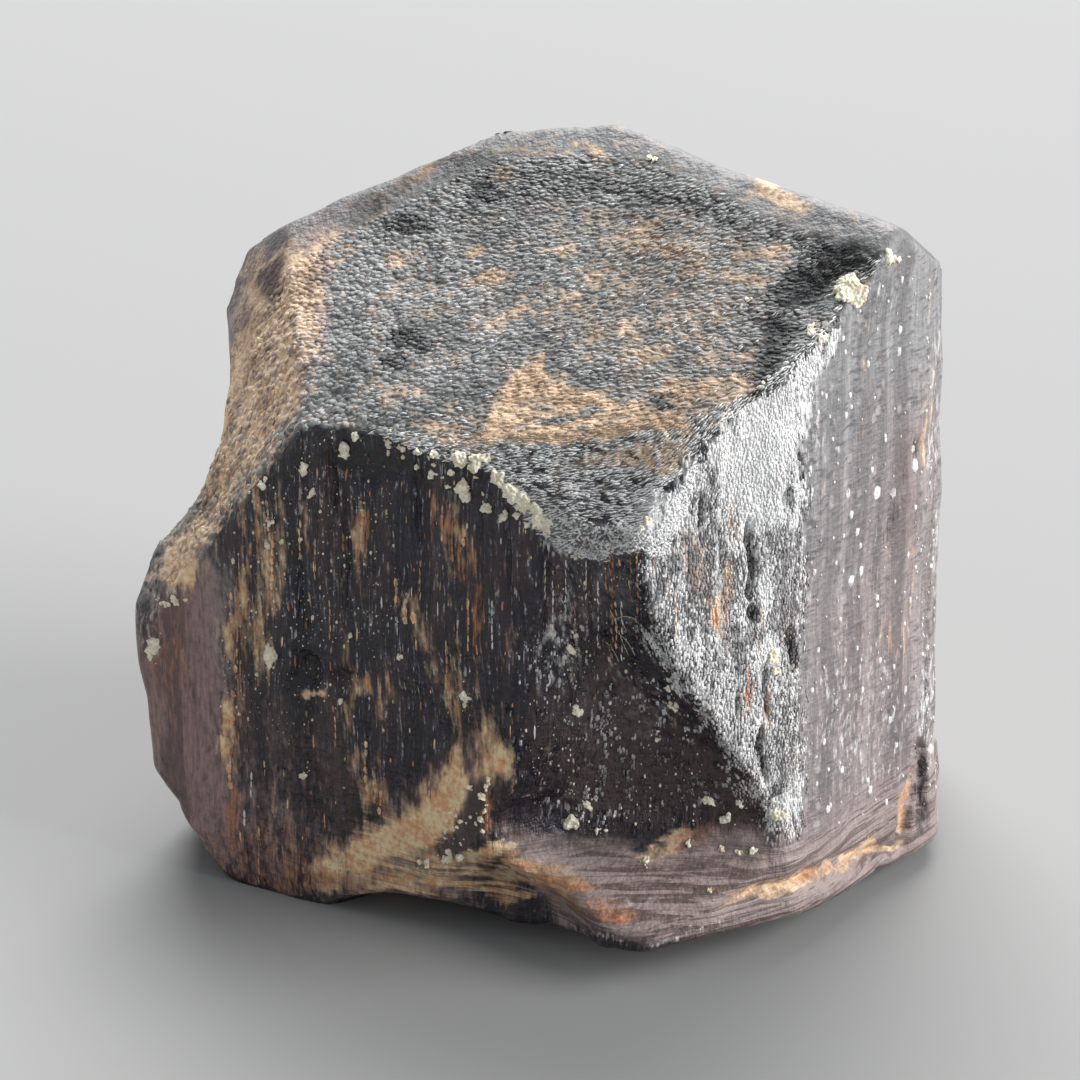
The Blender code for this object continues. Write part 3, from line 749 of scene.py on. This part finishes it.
# Crusts: silvery crust on the raised places, partly painted highlight, then clay, rust, and the
# dark coat of bare stone and painted shade over all.
pale = coat("pale", blended(tree, 0.6, tone, medium_grain), 1.25, 0.24, -0.34)
colour = covered(colour, pale, shaded(fine_grain, *SILVERY_CRUST_AND_HIGHLIGHT))
clay_grain = blended(tree, 0.3, medium_grain, fine_grain)
clay_grain = blended(tree, product(steep, 0.62), clay_grain, drip)
clay_grain = blended(tree, product(foot, 0.6), clay_grain, layers)
clay = coat("clay", clay_grain, 1.15, 0.28, 0.35)
clay = product(clay, between(tree, top, 0.0, 1.0, 1.0, 0.92))
clay_colour = shaded(between(tree, mixed_grain, 0.2, 0.8), *CLAY)
clay_colour = toned(clay_colour, broad, 0.45, 0.80, 0.45, CLAY_DRIFT)
# On the steep prism faces the clay is brighter and warmer, partly painted light for their shade.
even_grain = blended(tree, 0.55, soft, fine)
prism_clay = shaded(between(tree, even_grain, 0.25, 0.75), *CLAY_ON_PRISM)
clay_colour = covered(clay_colour, product(steep, 0.85), prism_clay)
colour = covered(colour, clay, clay_colour)
rust = coat("rust", blended(tree, product(foot, 0.75), mixed_grain, layers), 1.2, 0.34)
colour = covered(colour, rust, shaded(fine_grain, *RUST))
# The dark coat: stone rubbed bare, and painted shade in fissures, the crevice, the pit and under
# the rim.
dark = coat("dark", mixed_grain, 1.0, 0.28, 0.3)
colour = covered(colour, dark, shaded(warm, *BARE_STONE_AND_SHADE))
tree.links.new(colour, shader.inputs["Base Color"])

rough = between(tree, fine_grain, 0.1, 0.9, 0.24, 0.42)
for cover, amount in ((top, 0.58), (film_and_sheen, 0.52), (clay, 0.85), (rust, 0.75)):
    rough = blended(tree, cover, rough, amount)
tree.links.new(rough, shader.inputs["Roughness"])
shader.inputs["IOR"].default_value = 1.63
shader.inputs["Specular IOR Level"].default_value = 0.32

lines = product(product(hair, steep), between(tree, film_and_sheen, 0.0, 1.0, 1.0, 0.35))
height = math_node(tree, "MULTIPLY_ADD", product(ribs, steep), 0.6, lines)
height = math_node(tree, "MULTIPLY_ADD", product(layers, foot), 1.6, height)
height = math_node(tree, "MULTIPLY_ADD", fine, 0.8, height)
inputs = {"Height": height, "Strength": 0.55, "Distance": 0.0001}
bump = add_node(tree, "ShaderNodeBump", inputs)
tree.links.new(bump.outputs[0], shader.inputs["Normal"])

crystal.data.materials.clear()
crystal.data.materials.append(stone)
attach(crystal, "root")
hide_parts("dravite_crystal")


# Scales: the end faces are covered by thousands of low growth hillocks a quarter of a millimetre
# wide, drawn out sideways. Each is one small lump that overlaps its neighbours.
MAIN_SCALE_SPACING = 0.185 * MM
FRONT_SCALE_SPACING = 0.090 * MM
FRONT_SCALE_SIZE = np.array((0.34, 0.075, 0.042)) * MM
OTHER_SCALE_SPACING = 0.27 * MM
OTHER_SCALE_SIZE = np.array((0.42, 0.38, 0.026)) * MM
# Left of this place the end faces carry no scales.
LEFT_TIP = -14.6 * MM


def spread(piece, spacing, wanted, seed):
    """Points on the piece, none closer to another than the spacing, and the normals there."""
    chance = np.random.default_rng(seed)
    piece.data.calc_loop_triangles()
    ends = np.empty(len(piece.data.loop_triangles) * 3, np.int32)
    piece.data.loop_triangles.foreach_get("vertices", ends)
    ends = ends.reshape(-1, 3)
    places = corner_places(piece)
    normals = corner_normals(piece)
    ends = ends[wanted(places[ends].mean(1), normals[ends].mean(1))]
    sides = places[ends]
    areas = np.linalg.norm(np.cross(sides[:, 1] - sides[:, 0], sides[:, 2] - sides[:, 0]), axis=1)
    tries = int(areas.sum() / 2 / spacing**2 * 4)
    chosen = chance.choice(len(ends), tries, p=areas / areas.sum())
    shares = chance.dirichlet((1.0, 1.0, 1.0), tries)
    points = (places[ends[chosen]] * shares[:, :, None]).sum(1)
    ways = (normals[ends[chosen]] * shares[:, :, None]).sum(1)
    ways /= np.linalg.norm(ways, axis=1)[:, None]
    taken = {}
    kept = []
    cells = np.floor(points / spacing).astype(int).tolist()
    for index, (cell, point) in enumerate(zip(cells, points.tolist())):
        x, y, z = cell
        near = [taken.get((x + i, y + j, z + k))
                for i in (-1, 0, 1) for j in (-1, 0, 1) for k in (-1, 0, 1)]
        if all(other is None or math.dist(other, point) > spacing for other in near):
            taken[tuple(cell)] = point
            kept.append(index)
    return points[kept], ways[kept], chance


def lump_pattern(sides, shoulder, crown_rise, turn=0.0):
    """Corners and faces of one lump, a unit wide and standing a unit above the surface.

    It has a foot ring sunk below the surface, a shoulder ring and a crown.
    """
    bpy.ops.mesh.primitive_cone_add(vertices=sides, radius1=0.5, radius2=shoulder, depth=1.9)
    lump = bpy.context.object
    lump.rotation_euler = (0.0, 0.0, turn)
    bpy.ops.object.transform_apply(location=False, rotation=True, scale=False)
    pick(lump)
    bpy.ops.object.mode_set(mode="EDIT")
    bpy.ops.mesh.select_mode(type="FACE")
    bpy.ops.mesh.select_all(action="SELECT")
    bpy.ops.transform.translate(value=(0.0, 0.0, 0.05 - crown_rise))
    bpy.ops.mesh.select_all(action="DESELECT")
    bpy.ops.object.mode_set(mode="OBJECT")
    max(lump.data.polygons, key=lambda face: face.center.z).select = True
    bpy.ops.object.mode_set(mode="EDIT")
    bpy.ops.mesh.poke(offset=crown_rise)
    bpy.ops.mesh.select_all(action="SELECT")
    bpy.ops.mesh.quads_convert_to_tris()
    bpy.ops.object.mode_set(mode="OBJECT")
    corners = corner_places(lump)
    faces = np.array([face.vertices[:] for face in lump.data.polygons])
    bpy.data.objects.remove(lump)
    return corners, faces


def joined_lumps(name, points, ways, alongs, sizes, pattern, chance, ragged=0.16):
    """One mesh of many copies of the lump, each turned, stretched and made a little irregular."""
    corners, faces = pattern
    count = len(points)
    alongs = alongs - ways * (alongs * ways).sum(1)[:, None]
    alongs /= np.linalg.norm(alongs, axis=1)[:, None]
    acrosses = np.cross(ways, alongs)
    local = corners[None] * sizes[:, None, :]
    local = local * (1.0 + ragged * chance.uniform(-1.0, 1.0, (count, len(corners), 3)))
    world = (points[:, None] + local[:, :, :1] * alongs[:, None]
             + local[:, :, 1:2] * acrosses[:, None] + local[:, :, 2:] * ways[:, None])
    numbers = faces[None] + (np.arange(count) * len(corners))[:, None, None]
    mesh = bpy.data.meshes.new(name)
    mesh.from_pydata(world.reshape(-1, 3).tolist(), [], numbers.reshape(-1, 3).tolist())
    piece = bpy.data.objects.new(name, mesh)
    bpy.context.collection.objects.link(piece)
    pick(piece)
    bpy.ops.object.shade_smooth()
    return piece


def along_view(ways, across, up):
    """Directions that lie in the surface and that the camera sees going this way."""
    alongs = across[:, None] * np.array(right) + up[:, None] * np.array(upward)
    towards = ways @ np.array(ahead)
    slide = (alongs * ways).sum(1) / np.where(towards < -0.15, towards, 1e9)
    return alongs - slide[:, None] * np.array(ahead)


def grow_lumps(name, points, ways, alongs, sizes, shades, pattern, chance, thick=None):
    """One mesh of small lumps on the crystal, which carry the crystal's coats."""
    piece = joined_lumps(name, points, ways, alongs, sizes, pattern, chance)
    each = len(pattern[0])
    heights = pattern[0][:, 2]
    gaps = 1.0 - np.clip(heights / heights.max(), 0.0, 1.0)
    thick = {kind: np.repeat(amounts, each) for kind, amounts in (thick or {}).items()}
    lay_coats(piece, np.repeat(points, each, 0), np.repeat(ways, each, 0), np.repeat(shades, each),
              np.tile(gaps, len(points)), thick)
    piece.data.materials.append(stone)
    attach(piece, "root")


def tilted(ways, amount, chance, forward=0.0):
    """Directions tipped at random by about this much, and forward towards the camera."""
    leaning = ways + chance.normal(0.0, amount, ways.shape) - forward * np.array(ahead)
    return leaning / np.linalg.norm(leaning, axis=1)[:, None]


def end_face(places, normals):
    facing_up = (normals[:, 2] > 0.36) & (places[:, 2] > 8.5 * MM)
    return facing_up & (outlined(places, normals, PRISM_FACES_SEEN + BACK_BAND) < 0.5)


def front_end_face(places, normals):
    sloping = end_face(places, normals) & (normals[:, 2] <= 0.74)
    sloping &= (places[:, 0] > -7.0 * MM) & (normals[:, 1] < -0.5)
    return sloping | (outlined(places, normals, FRONT_RIM, 4.0) > 0.5)


def main_end_face(places, normals):
    level = (normals[:, 2] > 0.74) & (normals[:, 1] < 0.1)
    return level & end_face(places, normals) & ~front_end_face(places, normals)


def other_end_faces(places, normals):
    left_over = end_face(places, normals) & ~main_end_face(places, normals)
    bare = (faces_camera(normals) < 0.5) & (waves(places / MM / 3.0, 35) < -0.15)
    bare |= places[:, 0] < LEFT_TIP
    return left_over & ~front_end_face(places, normals) & ~bare


scale = lump_pattern(6, 0.36, 0.14)
points, ways, chance = spread(crystal, MAIN_SCALE_SPACING, main_end_face, 1)
count = len(points)
drawn_out = rise(-9.0, 1.0, points[:, 0] / MM)
lengths = 0.36 + 0.04 * drawn_out
widths = 0.25 - 0.08 * drawn_out
heights = 0.026 + 0.004 * drawn_out
sizes = np.stack([lengths, widths, heights], 1) * MM
sizes *= chance.uniform(0.75, 1.3, (count, 3))
slopes = 0.10 + 0.35 * waves(points / MM / 5.0, 21) + chance.normal(0, 0.2, count)
alongs = along_view(ways, np.ones(count), slopes)
shades = 0.56 + 0.20 * chance.uniform(-1, 1, count) + 0.32 * waves(points / MM / 1.1, 22)
shades += 0.30 * waves(points / MM / 3.2, 28)
leaning = tilted(ways, 0.09, chance, 0.16)
grow_lumps("scales_on_main_end_face", points, leaning, alongs, sizes, shades, scale, chance)

sliver = lump_pattern(5, 0.34, 0.2)
points, ways, chance = spread(crystal, FRONT_SCALE_SPACING, front_end_face, 2)
count = len(points)
columns, rows = seen_at(points)
loose = outlined(points, ways, FRONT_RIM, 4.0) * rise(545, 600, columns)
sizes = FRONT_SCALE_SIZE * chance.uniform(0.7, 1.35, (count, 3))
sizes *= 1.0 + loose[:, None] * np.array((-0.25, 0.8, 0.8))
slopes = 0.12 + 0.6 * rise(560, 720, columns) + 0.2 * waves(points / MM / 3.0, 23)
slopes += chance.normal(0, 0.12, count) * (1.0 + 9.0 * loose)
alongs = along_view(ways, np.ones(count), slopes)
shades = 0.80 + 0.7 * chance.uniform(-1, 1, count) + 0.25 * waves(points / MM / 0.8, 24)
leaning = tilted(ways, 0.16 + 0.2 * loose[:, None], chance)
# Two thirds of the fibres carry the pale crust, which also stands for painted glints on this face.
pale_crust_and_glints = {"pale": 1.0 * (chance.uniform(size=count) < 0.66)}
grow_lumps("scales_on_front_end_face", points, leaning, alongs, sizes, shades, sliver, chance,
           pale_crust_and_glints)

points, ways, chance = spread(crystal, OTHER_SCALE_SPACING, other_end_faces, 3)
count = len(points)
sizes = OTHER_SCALE_SIZE * chance.uniform(0.6, 1.5, (count, 3))
alongs = np.tile((1.0, 0.3, 0.0), (count, 1)) + chance.normal(0, 0.4, (count, 3))
shades = 0.5 + 0.14 * chance.uniform(-1, 1, count) + 0.3 * waves(points / MM / 1.5, 25)
leaning = tilted(ways, 0.05, chance)
grow_lumps("scales_on_other_end_faces", points, leaning, alongs, sizes, shades, scale, chance)


# Slivers: below the front right rim the prism face is etched into upright silvery slivers, a
# tenth of a millimetre wide, with black gaps between them. A few stand on the dark face beside it.
SPECKLED_FACES = (
    (((520, 640), (640, 610), (720, 740), (770, 812), (560, 826), (505, 760)), 10, 0.1),
)
SLIVER_SPACING = 0.105 * MM
SLIVER_SIZE = np.array((0.29, 0.140, 0.038)) * MM


def etched_face(places, normals):
    thinning = np.clip(0.5 + 0.9 * waves(places / MM / 0.16, 37), 0.02, 0.85)
    cover = outlined(places, normals, ETCHED_FACE + SPECKLED_FACES, 9.0)
    return (cover > thinning) & (normals[:, 2] < 0.5)


def upright(points):
    return np.tile((0.0, 0.0, 1.0), (len(points), 1))


points, ways, chance = spread(crystal, SLIVER_SPACING, etched_face, 4)
count = len(points)
sizes = SLIVER_SIZE * chance.uniform(0.6, 1.5, (count, 3))
sizes *= (1.0 + 0.4 * waves(points / MM / (0.6, 0.6, 1.2), 27))[:, None]
alongs = upright(points) + chance.normal(0, 0.05, (count, 3))
shades = 0.5 + 0.36 * chance.uniform(-1, 1, count)
shades += 0.4 * waves(points / MM / (0.4, 0.4, 1.0), 26)
shades += 0.4 * waves(points / MM / (1.2, 1.2, 3.0), 29)
block = lump_pattern(4, 0.42, 0.06, math.pi / 4)
leaning = tilted(ways, 0.15, chance)
grow_lumps("etched_slivers", points, leaning, alongs, sizes, shades, block, chance)


# Streaks: clay, rust and pale crust have run down the upright lines of the prism and dried there
# in thin threads, each a chain of long low lumps that overlap end to end. Pale drops have dried
# on the satin face at the right.
STREAKS = (
    # column, top row, bottom row, width in pixels, coat
    (612, 552, 668, 4.4, "rust"), (616, 600, 650, 3.0, "clay"), (637, 540, 640, 4.4, "rust"),
    (631, 548, 600, 2.6, "rust"), (655, 545, 580, 3.0, "rust"), (606, 548, 590, 2.6, "rust"),
    (646, 560, 600, 1.8, "pale"), (362, 500, 552, 7.0, "clay"), (368, 510, 540, 3.0, "rust"),
    (396, 578, 612, 6.0, "clay"), (404, 598, 624, 9.0, "clay"), (413, 612, 624, 7.0, "clay"),
    (433, 496, 530, 3.5, "rust"), (442, 505, 542, 3.0, "clay"), (452, 520, 562, 4.0, "rust"),
    (463, 528, 556, 6.0, "clay"), (468, 590, 652, 3.0, "clay"), (476, 600, 640, 2.0, "rust"),
    (268, 500, 540, 6.0, "clay"), (272, 540, 590, 6.0, "clay"), (257, 480, 560, 4.0, "rust"),
    (231, 592, 640, 7.0, "clay"), (236, 640, 690, 6.0, "clay"), (232, 690, 762, 7.0, "clay"),
    (230, 756, 790, 9.0, "clay"), (232, 790, 852, 6.0, "rust"), (366, 740, 792, 5.0, "clay"),
    (374, 770, 804, 5.0, "clay"), (380, 790, 815, 6.0, "clay"), (300, 520, 560, 3.0, "clay"),
    (315, 540, 580, 2.0, "clay"), (330, 600, 640, 2.2, "clay"), (420, 560, 600, 2.0, "clay"),
    (446, 640, 690, 2.0, "clay"), (492, 600, 650, 2.0, "pale"), (545, 560, 600, 2.0, "pale"),
    (553, 580, 640, 2.4, "pale"), (566, 560, 612, 2.0, "pale"), (575, 600, 642, 2.4, "rust"),
    (586, 560, 600, 1.8, "pale"), (598, 580, 650, 1.8, "pale"), (622, 600, 662, 1.8, "pale"),
    (650, 570, 622, 2.2, "rust"), (668, 560, 600, 2.4, "rust"), (676, 590, 640, 2.0, "clay"),
    (690, 540, 600, 3.0, "clay"), (726, 560, 630, 4.0, "clay"), (748, 660, 712, 3.4, "rust"),
    (770, 690, 730, 3.0, "clay"), (486, 780, 832, 5.0, "rust"), (708, 600, 650, 2.0, "rust"),
    (797, 400, 838, 2.0, "pale"),
)
STAINED_FACES = (
    # where more short threads lie scattered
    (((232, 520), (320, 430), (480, 480), (545, 540), (545, 700), (480, 770), (350, 850),
      (240, 860)), 4, 0.6),
    (((540, 548), (650, 560), (640, 620), (600, 690), (560, 740), (520, 760)), 4, 1.0),
)
SATIN_FACE = (
    # where more small drops lie scattered
    (((812, 410), (850, 320), (885, 270), (930, 270), (936, 800), (812, 830)), 4, 1.0),
)
DROPS = (
    # column, row, width in pixels
    (848, 493, 10), (877, 493, 11), (893, 493, 9), (915, 466, 11), (899, 352, 8), (913, 449, 7),
    (846, 416, 7), (837, 450, 7), (851, 515, 8), (857, 532, 7), (860, 546, 6), (806, 504, 6),
    (814, 572, 6), (861, 571, 9), (851, 581, 10), (877, 598, 6), (822, 336, 6), (900, 330, 8),
    (836, 702, 6), (862, 690, 6), (824, 742, 6), (840, 620, 6), (905, 690, 8), (890, 720, 7),
    (842, 770, 7), (870, 790, 8), (896, 745, 6), (872, 470, 6), (885, 440, 5), (826, 396, 5),
    (818, 650, 6), (880, 660, 6), (858, 738, 6), (830, 806, 7), (910, 600, 6), (908, 555, 6),
    (850, 395, 5), (868, 364, 6), (845, 352, 5), (886, 802, 6), (812, 690, 5),
)
DROP_COATS = {"clay": 0.30, "rust": 0.0, "pale": 0.86}
THREAD_SPACING = 0.92 * MM
DROP_SPACING = 0.75 * MM
SMALL_DROP_PIXELS = 2.6
# The width on the crystal, at the front corner, of one pixel of the close-up.
PIXEL = CORNER_DISTANCE / FOCAL_PIXELS


def under_pixel(column, row):
    """The place on the crystal that the camera sees at a pixel, and the surface normal there."""
    hit, place, normal, _ = crystal.ray_cast(eye, ray_through(column, row))
    return (np.array(place), np.array(normal)) if hit else None


def stained(places, normals):
    return (outlined(places, normals, STAINED_FACES) > 0.4) & (normals[:, 2] < 0.5)


def satin_face(places, normals):
    return (outlined(places, normals, SATIN_FACE) > 0.5) & (normals[:, 2] < 0.5)


chance = np.random.default_rng(6)
threads = list(STREAKS)
points, _, _ = spread(crystal, THREAD_SPACING, stained, 5)
for column, row in zip(*seen_at(points)):
    reach = chance.choice((chance.lognormal(1.5, 0.6), chance.uniform(1.0, 2.4)))
    kind = chance.choice(("clay", "pale", "rust"), p=(0.5, 0.15, 0.35))
    threads.append((column, row - reach, row + reach, chance.uniform(1.8, 4.0), kind))
places = []
ways = []
sizes = []
coated = {"clay": [], "rust": [], "pale": []}
for column, start, end, width, kind in threads:
    steps = max(1, int((end - start) / 8.0))
    for step in range(steps):
        row = start + (step + 0.5) * (end - start) / steps
        found = under_pixel(column + chance.normal(0.0, 0.12 * width), row)
        if found is not None:
            places.append(found[0])
            ways.append(found[1])
            swell = chance.uniform(0.5, 1.25)
            sizes.append(np.array((1.6 * (end - start) / steps, width * swell, 0.8)) * PIXEL)
            for name in coated:
                coated[name].append(1.0 if name == kind else 0.0)
threaded = len(places)

drops = list(DROPS)
points, _, drop_chance = spread(crystal, DROP_SPACING, satin_face, 10)
for column, row in zip(*seen_at(points)):
    if drop_chance.uniform() < 0.6:
        drops.append((column, row, SMALL_DROP_PIXELS * drop_chance.lognormal(0.0, 0.35)))
for column, row, width in drops:
    place, way = under_pixel(column, row)
    places.append(place)
    ways.append(way)
    sizes.append(np.array((1.9 * width, 1.4 * width, 1.1)) * PIXEL)
    for name in coated:
        coated[name].append(DROP_COATS[name])
places = np.array(places)
ways = np.array(ways)
thick = {name: np.array(amounts) * chance.uniform(0.55, 1.0, len(ways))
         for name, amounts in coated.items()}
alongs = upright(places) + chance.normal(0, 0.03, ways.shape)
shades = np.where(np.arange(len(ways)) < threaded, 0.9, 0.3)
grow_lumps("dried_streaks", places, ways, alongs, np.array(sizes), shades, sliver, chance, thick)


# Crumbs: a pale yellow crust, caked in lumps up to half a millimetre across on the rims and
# strewn as single grains over the prism.
CRUMBS = (
    # column, row, half width and half height in pixels
    (462, 458, 10, 7), (478, 464, 12, 9), (466, 488, 8, 16), (488, 458, 9, 6), (500, 478, 7, 7),
    (512, 492, 9, 10), (524, 504, 9, 12), (540, 520, 7, 10), (548, 530, 6, 6), (536, 508, 8, 6),
    (848, 290, 14, 14), (893, 258, 12, 7), (812, 330, 7, 9), (824, 338, 6, 6), (747, 300, 6, 4),
    (765, 382, 4, 3), (652, 158, 9, 5), (270, 655, 8, 12), (466, 695, 6, 16), (572, 650, 5, 9),
    (575, 710, 7, 10), (668, 686, 6, 6), (672, 706, 7, 6), (573, 822, 10, 7), (590, 805, 8, 5),
    (601, 830, 8, 4), (708, 800, 11, 6), (727, 818, 11, 6), (741, 803, 5, 5), (780, 815, 9, 7),
    (722, 851, 7, 4), (738, 853, 7, 4), (755, 850, 7, 4), (690, 843, 6, 5), (645, 862, 5, 5),
    (708, 892, 4, 3), (305, 775, 6, 6), (152, 645, 8, 14), (357, 435, 5, 5), (305, 468, 7, 7),
    (311, 492, 4, 7), (264, 482, 10, 6), (345, 450, 7, 8), (388, 442, 5, 4), (402, 447, 7, 5),
    (418, 452, 6, 5), (434, 457, 7, 5), (772, 655, 8, 12), (776, 672, 5, 8), (658, 736, 4, 10),
    (650, 522, 8, 5), (640, 530, 6, 5), (425, 862, 8, 6), (447, 858, 7, 7), (180, 600, 10, 6),
    (165, 604, 8, 5), (270, 520, 5, 8), (268, 545, 5, 5), (400, 655, 4, 4),
)
PEBBLED_AREAS = (
    # strewn with crumbs
    (((446, 862), (446, 820), (468, 790), (490, 776), (480, 850)), 4, 1.0),
    (((455, 440), (560, 520), (560, 545), (440, 480), (380, 448), (390, 432)), 4, 1.0),
)
GRAINY_AREAS = (
    # strewn with grains
    (((740, 560), (800, 560), (800, 830), (760, 800)), 4, 1.0),
    (((560, 560), (640, 560), (720, 780), (700, 820), (540, 830), (520, 700)), 4, 1.0),
    (((230, 500), (330, 430), (400, 470), (400, 620), (300, 760), (220, 720)), 4, 1.0),
)
PEBBLE_SPACING = 0.24 * MM
PEBBLE_SIZE = 0.17 * MM
GRAIN_SPACING = 0.22 * MM
GRAIN_SIZE = np.array((1.5, 1.0, 0.6)) * 0.048 * MM
CRUST_VOXEL = 0.032 * MM
DARK_CRUST = (0.62, 0.54, 0.37, 1.0)
LIGHT_CRUST = (1.0, 0.96, 0.82, 1.0)
STAINED_CRUST = (0.60, 0.44, 0.27, 1.0)


def strewn(crumb, count, share_out):
    """Places on the crystal in random directions from a crumb, and the surface normals there."""
    column, row, half_width, half_height = crumb
    for _ in range(count):
        turn = chance.uniform(0.0, 2.0 * math.pi)
        away = share_out()
        found = under_pixel(column + half_width * away * math.cos(turn),
                            row + half_height * away * math.sin(turn))
        if found is not None:
            yield found


def close_in():
    return 0.65 * np.sqrt(chance.uniform())


def round_about():
    return chance.uniform(0.5, 1.5)


def pebbled(places, normals):
    return outlined(places, normals, PEBBLED_AREAS) > 0.4


def grainy(places, normals):
    return outlined(places, normals, GRAINY_AREAS) > 0.4


places = []
ways = []
sizes = []
small_places = []
small_ways = []
small_sizes = []
for crumb in CRUMBS:
    half_width, half_height = crumb[2:]
    area = half_width * half_height
    for place, way in strewn(crumb, int(2 + area / 22), close_in):
        size = min(half_width, half_height) * chance.uniform(0.8, 1.4) * PIXEL
        places.append(place + way * 0.15 * size)
        ways.append(way)
        sizes.append(size * chance.uniform(0.7, 1.3, 3) * (1.25, 0.95, 0.7))
    for place, way in strewn(crumb, int(2 + area / 25), round_about):
        small_places.append(place)
        small_ways.append(way)
        small_sizes.append(chance.uniform(0.03, 0.09) * MM * chance.uniform(0.7, 1.3, 3))
points, normals, _ = spread(crystal, PEBBLE_SPACING, pebbled, 9)
for point, normal in zip(points, normals):
    if chance.uniform() < 0.5:
        places.append(point)
        ways.append(normal)
        sizes.append(PEBBLE_SIZE * chance.lognormal(0.0, 0.35) * chance.uniform(0.7, 1.3, 3))
points, normals, _ = spread(crystal, GRAIN_SPACING, grainy, 8)
crowding = 0.42 + 0.5 * waves(points / MM / 0.9, 36)
for point, normal, crowd in zip(points, normals, crowding):
    if chance.uniform() < crowd:
        small_places.append(point)
        small_ways.append(normal)
        small_sizes.append(GRAIN_SIZE * chance.lognormal(0.0, 0.6))

bpy.ops.mesh.primitive_ico_sphere_add(subdivisions=2, radius=0.55)
ball = bpy.context.object
chunk_shape = corner_places(ball), np.array([face.vertices[:] for face in ball.data.polygons])
bpy.data.objects.remove(ball)
chunks = joined_lumps("crust_chunks", np.array(places), np.array(ways), upright(places) + 0.01,
                      np.array(sizes), chunk_shape, chance, 0.3)
finish_modifier(chunks, "REMESH", "caked", mode="VOXEL", voxel_size=CRUST_VOXEL)
millimetres = corner_places(chunks) / MM
relief = -0.10 * (grains(millimetres / 0.16, 33)[0] - 0.45) + 0.05 * waves(millimetres / 0.10, 34)
move_corners(chunks, (millimetres + corner_normals(chunks) * relief[:, None]) * MM)
pick(chunks)
bpy.ops.object.shade_smooth_by_angle(angle=math.radians(25))
crumbs = joined_lumps("crust_grains", np.array(small_places), np.array(small_ways),
                      upright(small_places) + 0.01, np.array(small_sizes),
                      lump_pattern(5, 0.30, 0.35), chance, 0.3)

crust = bpy.data.materials.new("pale_crust")
crust.use_nodes = True
crust_tree = crust.node_tree
crust_shader = crust_tree.nodes["Principled BSDF"]
grain = placed_noise(crust_tree, (5200, 5200, 5200), 3.0)
blotch = placed_noise(crust_tree, (700, 700, 700), 2.0)
blotch = between(crust_tree, blotch, 0.55, 0.95, 0.0, 0.6)
colour = over(crust_tree, grain, DARK_CRUST, LIGHT_CRUST)
colour = over(crust_tree, blotch, colour, STAINED_CRUST)
crust_tree.links.new(colour, crust_shader.inputs["Base Color"])
crust_shader.inputs["Roughness"].default_value = 0.7
for piece in (chunks, crumbs):
    piece.data.materials.append(crust)
    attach(piece, "root")


# Lint: a few pale fibres of cloth or paper, a fiftieth of a millimetre thick, caught on the
# rough stone under the front corner.
LINT = (
    # columns and rows in pixels of the points that each fibre passes
    ((611, 608), (617, 622), (621, 638), (628, 652)), ((614, 620), (625, 612), (637, 619)),
    ((617, 630), (629, 638), (636, 654)), ((606, 641), (615, 649), (619, 661)),
    ((622, 604), (620, 618), (627, 630)), ((560, 596), (568, 606), (566, 620)),
)
FIBRE_RADIUS = 0.009 * MM
fibres = []
for pixels in LINT:
    fibre = bpy.data.curves.new("fibre", "CURVE")
    fibre.dimensions = "3D"
    fibre.bevel_depth = FIBRE_RADIUS
    fibre.bevel_resolution = 1
    fibre.resolution_u = 5
    fibre.use_fill_caps = True
    spline = fibre.splines.new("NURBS")
    spline.points.add(len(pixels) - 1)
    spline.use_endpoint_u = True
    spline.order_u = 3
    for point, (column, row) in zip(spline.points, pixels):
        place, way = under_pixel(column, row)
        point.co = (*(place + way * chance.uniform(0.02, 0.12) * MM), 1.0)
    strand = bpy.data.objects.new("fibre", fibre)
    bpy.context.collection.objects.link(strand)
    fibres.append(strand)
pick(fibres[0])
for strand in fibres:
    strand.select_set(True)
bpy.ops.object.convert(target="MESH")
bpy.ops.object.join()
lint = bpy.context.object
lint.name = "lint"
lint.data.materials.clear()
lint.data.materials.append(crust)
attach(lint, "root")


# Floor and light: a plain pale sheet under the crystal, one wide soft light over and behind it,
# and one at its right.
bpy.ops.object.select_all(action="DESELECT")
bpy.ops.mesh.primitive_plane_add(size=6.0, location=(0.0, 0.0, 0.0))
table = bpy.context.object
table.name = "table"
paper = bpy.data.materials.new("pale_table")
paper.use_nodes = True
paper_shader = paper.node_tree.nodes["Principled BSDF"]
paper_shader.inputs["Base Color"].default_value = (0.27, 0.268, 0.265, 1.0)
paper_shader.inputs["Roughness"].default_value = 0.9
table.data.materials.append(paper)


def soft_light(name, place, size, power):
    """A square light that faces the crystal's middle: its side in metres, its power in watts."""
    facing = (Vector((0.0, 0.0, 0.015)) - Vector(place)).to_track_quat("-Z", "Y").to_euler()
    bpy.ops.object.light_add(type="AREA", location=place, rotation=facing)
    light = bpy.context.object
    light.name = name
    light.data.shape = "SQUARE"
    light.data.size = size
    light.data.energy = power


soft_light("back_light", (0.06, 0.90, 1.02), 1.08, 36.0)
soft_light("right_light", (1.02, -0.22, 0.50), 0.78, 20.0)
room = bpy.data.worlds.new("room")
bpy.context.scene.world = room
room.use_nodes = True
sky = room.node_tree.nodes["Background"]
sky.inputs["Color"].default_value = (0.9, 0.95, 1.0, 1.0)
sky.inputs["Strength"].default_value = 0.45
bpy.context.scene.view_settings.view_transform = "Standard"
